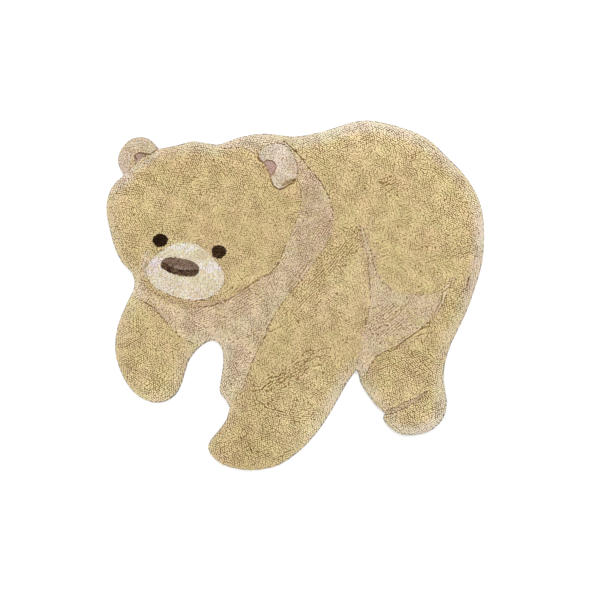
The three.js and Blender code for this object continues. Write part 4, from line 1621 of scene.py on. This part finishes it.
@dataclass
class Studio:
    """The pale floor, the soft lights and the camera straight above the rug."""

    image_width: float = 592.0
    mm_to_pixel: float = 3.4437
    rug_middle_pixel: tuple[float, float] = (295.35, 295.3)
    lens: float = 85.0
    sensor: float = 36.0
    pile_height: float = 0.015
    farthest: float = 50.0
    floor_radius: float = 9.0
    floor_sides: int = 96
    floor_level: float = -0.0006
    floor_paint: float = 0.93
    floor_roughness: float = 0.9
    sky_strength: float = 0.78
    key: tuple[tuple[float, float, float], float, float] = ((2.4, 4.6, 6.0), 3.0, 1650.0)
    fill: tuple[tuple[float, float, float], float, float] = ((-3.6, -2.0, 6.0), 4.0, 430.0)

    def floor(self) -> None:
        """Makes the floor, a large disc of pale matt paint just under the rug."""
        count = self.floor_sides
        angle = np.arange(count) * 2 * np.pi / count
        points = np.column_stack([np.cos(angle) * self.floor_radius,
                                  np.sin(angle) * self.floor_radius,
                                  np.full(count, self.floor_level)])
        mesh = bpy.data.meshes.new("studio_floor")
        mesh.from_pydata(points.tolist(), [], [list(range(count))])
        nodes = Nodes("pale_studio_floor")
        nodes.shader.inputs["Base Color"].default_value = (*[self.floor_paint] * 3, 1.0)
        nodes.shader.inputs["Roughness"].default_value = self.floor_roughness
        mesh.materials.append(nodes.material)
        put_in_scene("studio_floor", mesh)

    def light(self, name: str, place: tuple[float, float, float], size: float,
              power: float) -> None:
        """Adds a square soft light that faces the rug's middle.

        Args:
            name: the light's name.
            place: where it is, in metres.
            size: its side, in metres.
            power: in watts.
        """
        lamp = bpy.data.lights.new(name, "AREA")
        lamp.shape = "SQUARE"
        lamp.size = size
        lamp.energy = power
        item = put_in_scene(name, lamp)
        item.location = place
        direction = -np.array(place)
        yaw = math.atan2(direction[0], -direction[1])
        pitch = math.acos(-direction[2] / np.linalg.norm(direction))
        item.rotation_euler = (pitch, 0.0, yaw)

    def camera(self) -> None:
        """Adds the camera, straight above, at the scale of the picture frame.

        Its distance is half the frame's real width over the tangent of half its angle of view.
        """
        data = bpy.data.cameras.new("camera")
        data.lens = self.lens
        data.sensor_width = self.sensor
        width = self.image_width * self.mm_to_pixel * MM
        distance = width / 2 / math.tan(math.atan(self.sensor / 2 / self.lens))
        centre = self.image_width / 2
        x = (centre - self.rug_middle_pixel[0]) * self.mm_to_pixel * MM
        y = -(centre - self.rug_middle_pixel[1]) * self.mm_to_pixel * MM
        data.clip_end = self.farthest
        item = put_in_scene("camera", data)
        item.location = (x, y, distance + self.pile_height)
        bpy.context.scene.camera = item

    def build(self) -> None:
        """Makes the floor, the lights, the pale surroundings and the camera."""
        self.floor()
        self.light("soft_key", *self.key)
        self.light("soft_fill", *self.fill)
        world = bpy.data.worlds.new("pale_surroundings")
        world.use_nodes = True
        sky = world.node_tree.nodes["Background"]
        sky.inputs["Color"].default_value = (1.0, 1.0, 1.0, 1.0)
        sky.inputs["Strength"].default_value = self.sky_strength
        bpy.context.scene.world = world
        bpy.context.scene.view_settings.view_transform = "Standard"
        self.camera()


FINE = Rows(pitch=5.6, jitter=0.18, bend=2.0)
VERY_FINE = Rows(pitch=4.4, jitter=0.16, bend=1.0)
FIELDS = (
    PileField("pile_head", Yarns.HONEY, Rows(turn=8), seam_mix=0.35, seed=1),
    PileField("pile_body", Yarns.HONEY, Rows(turn=20),
              ((Rows(pitch=6.4, gap=1.1, turn=47, bend=8, jitter=0.22),
                (Patch(190, 195, 55, 50, 1.0), Patch(125, 110, 55, 55, 1.0),
                 Patch(45, 10, 60, 60, 1.0), Patch(-45, -85, 60, 60, 1.0))),
               (Rows(pitch=6.3, gap=1.22, turn=28, bend=7, jitter=0.26),
                (Patch(-85, -306, 70, 26, 1.0), Patch(0, -260, 60, 28, 1.0),
                 Patch(75, -208, 60, 30, 1.0), Patch(335, 378, 58, 42, 1.0))),
               (Rows(pitch=6.6, gap=0.94, turn=-8, bend=8, jitter=0.17),
                (Patch(5, -400, 80, 50, 1.0),))),
              seam_mix=0.45, seed=2, patches={
                  "_back": (330, 380), "_shoulder": (120, 60), "_near_foreleg": (-90, -420),
                  "_rump": (470, 60), "_hind_leg": (400, -330)}),
    PileField("pile_far_foreleg", Yarns.HONEY, Rows(turn=-30), seam_mix=0.35, seed=3),
    PileField("pile_neck", Yarns.ROSE, Rows(turn=50),
              ((Rows(pitch=6.2, gap=1.17, turn=26, bend=6, jitter=0.2),
                (Patch(-225, -60, 160, 110, 1.0),)),),
              radius=4.0, thinning=0.2, specks=0.12, tone=1.035, seam_mix=0.45, seed=4),
    PileField("pile_flank", Yarns.ROSE, Rows(turn=20),
              ((Rows(pitch=6.2, gap=1.2, turn=37, bend=6, jitter=0.22),
                (Patch(322, -84, 95, 66, 1.0),)),),
              radius=4.05, seam_mix=0.45, seed=5),
    PileField("pile_foot_line", Yarns.ROSE, FINE, radius=3.1, tone=0.85, seed=6),
    PileField("pile_rump_strip", Yarns.ROSE, Rows(pitch=6.4, turn=80), radius=3.6, seed=7),
    PileField("ear_far", Yarns.PALE, FINE, radius=3.3, bare=0.02, rim_pale=0.55, tone=0.97,
              seed=8),
    PileField("ear_near", Yarns.PALE, FINE, radius=3.3, bare=0.01, rim_pale=0.5, seed=9),
    PileField("inner_ear_far", Yarns.MAUVE, VERY_FINE, lean=1.2, uneven_top=0.18, radius=2.8,
              bare=0.0, seed=10),
    PileField("inner_ear_near", Yarns.MAUVE, VERY_FINE, lean=1.2, uneven_top=0.18, radius=2.8,
              bare=0.0, seed=11),
    PileField("muzzle", Yarns.CREAM, Rows(turn=25), bare=0.0, thinning=0.08, specks=0.02,
              seed=12),
    PileField("nose_top", Yarns.BROWN, VERY_FINE, lean=1.5, radius=2.5, bare=0.02, seed=13),
    PileField("nose_lower", Yarns.DARK_BROWN, VERY_FINE, lean=4.0, radius=2.4, tone=1.05, seed=14),
    PileField("eye_left", Yarns.NEAR_BLACK, FINE, lean=1.5, radius=2.9, tone=0.72, seed=15),
    PileField("eye_right", Yarns.NEAR_BLACK, FINE, lean=1.5, radius=2.9, tone=1.15, seed=16),
)


def write_sizes() -> None:
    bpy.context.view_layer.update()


def main() -> None:
    """Builds the stage, the pile fields and the cloth in order."""
    logging.basicConfig(level=logging.INFO, format="%(name)s %(message)s")
    Studio().build()
    cloth = HemmedCloth()
    pile = [piece for pile_field in FIELDS for piece in pile_field.build(cloth.outline)]
    cloth.build(pile)
    write_sizes()


if __name__ == "__main__":
    main()
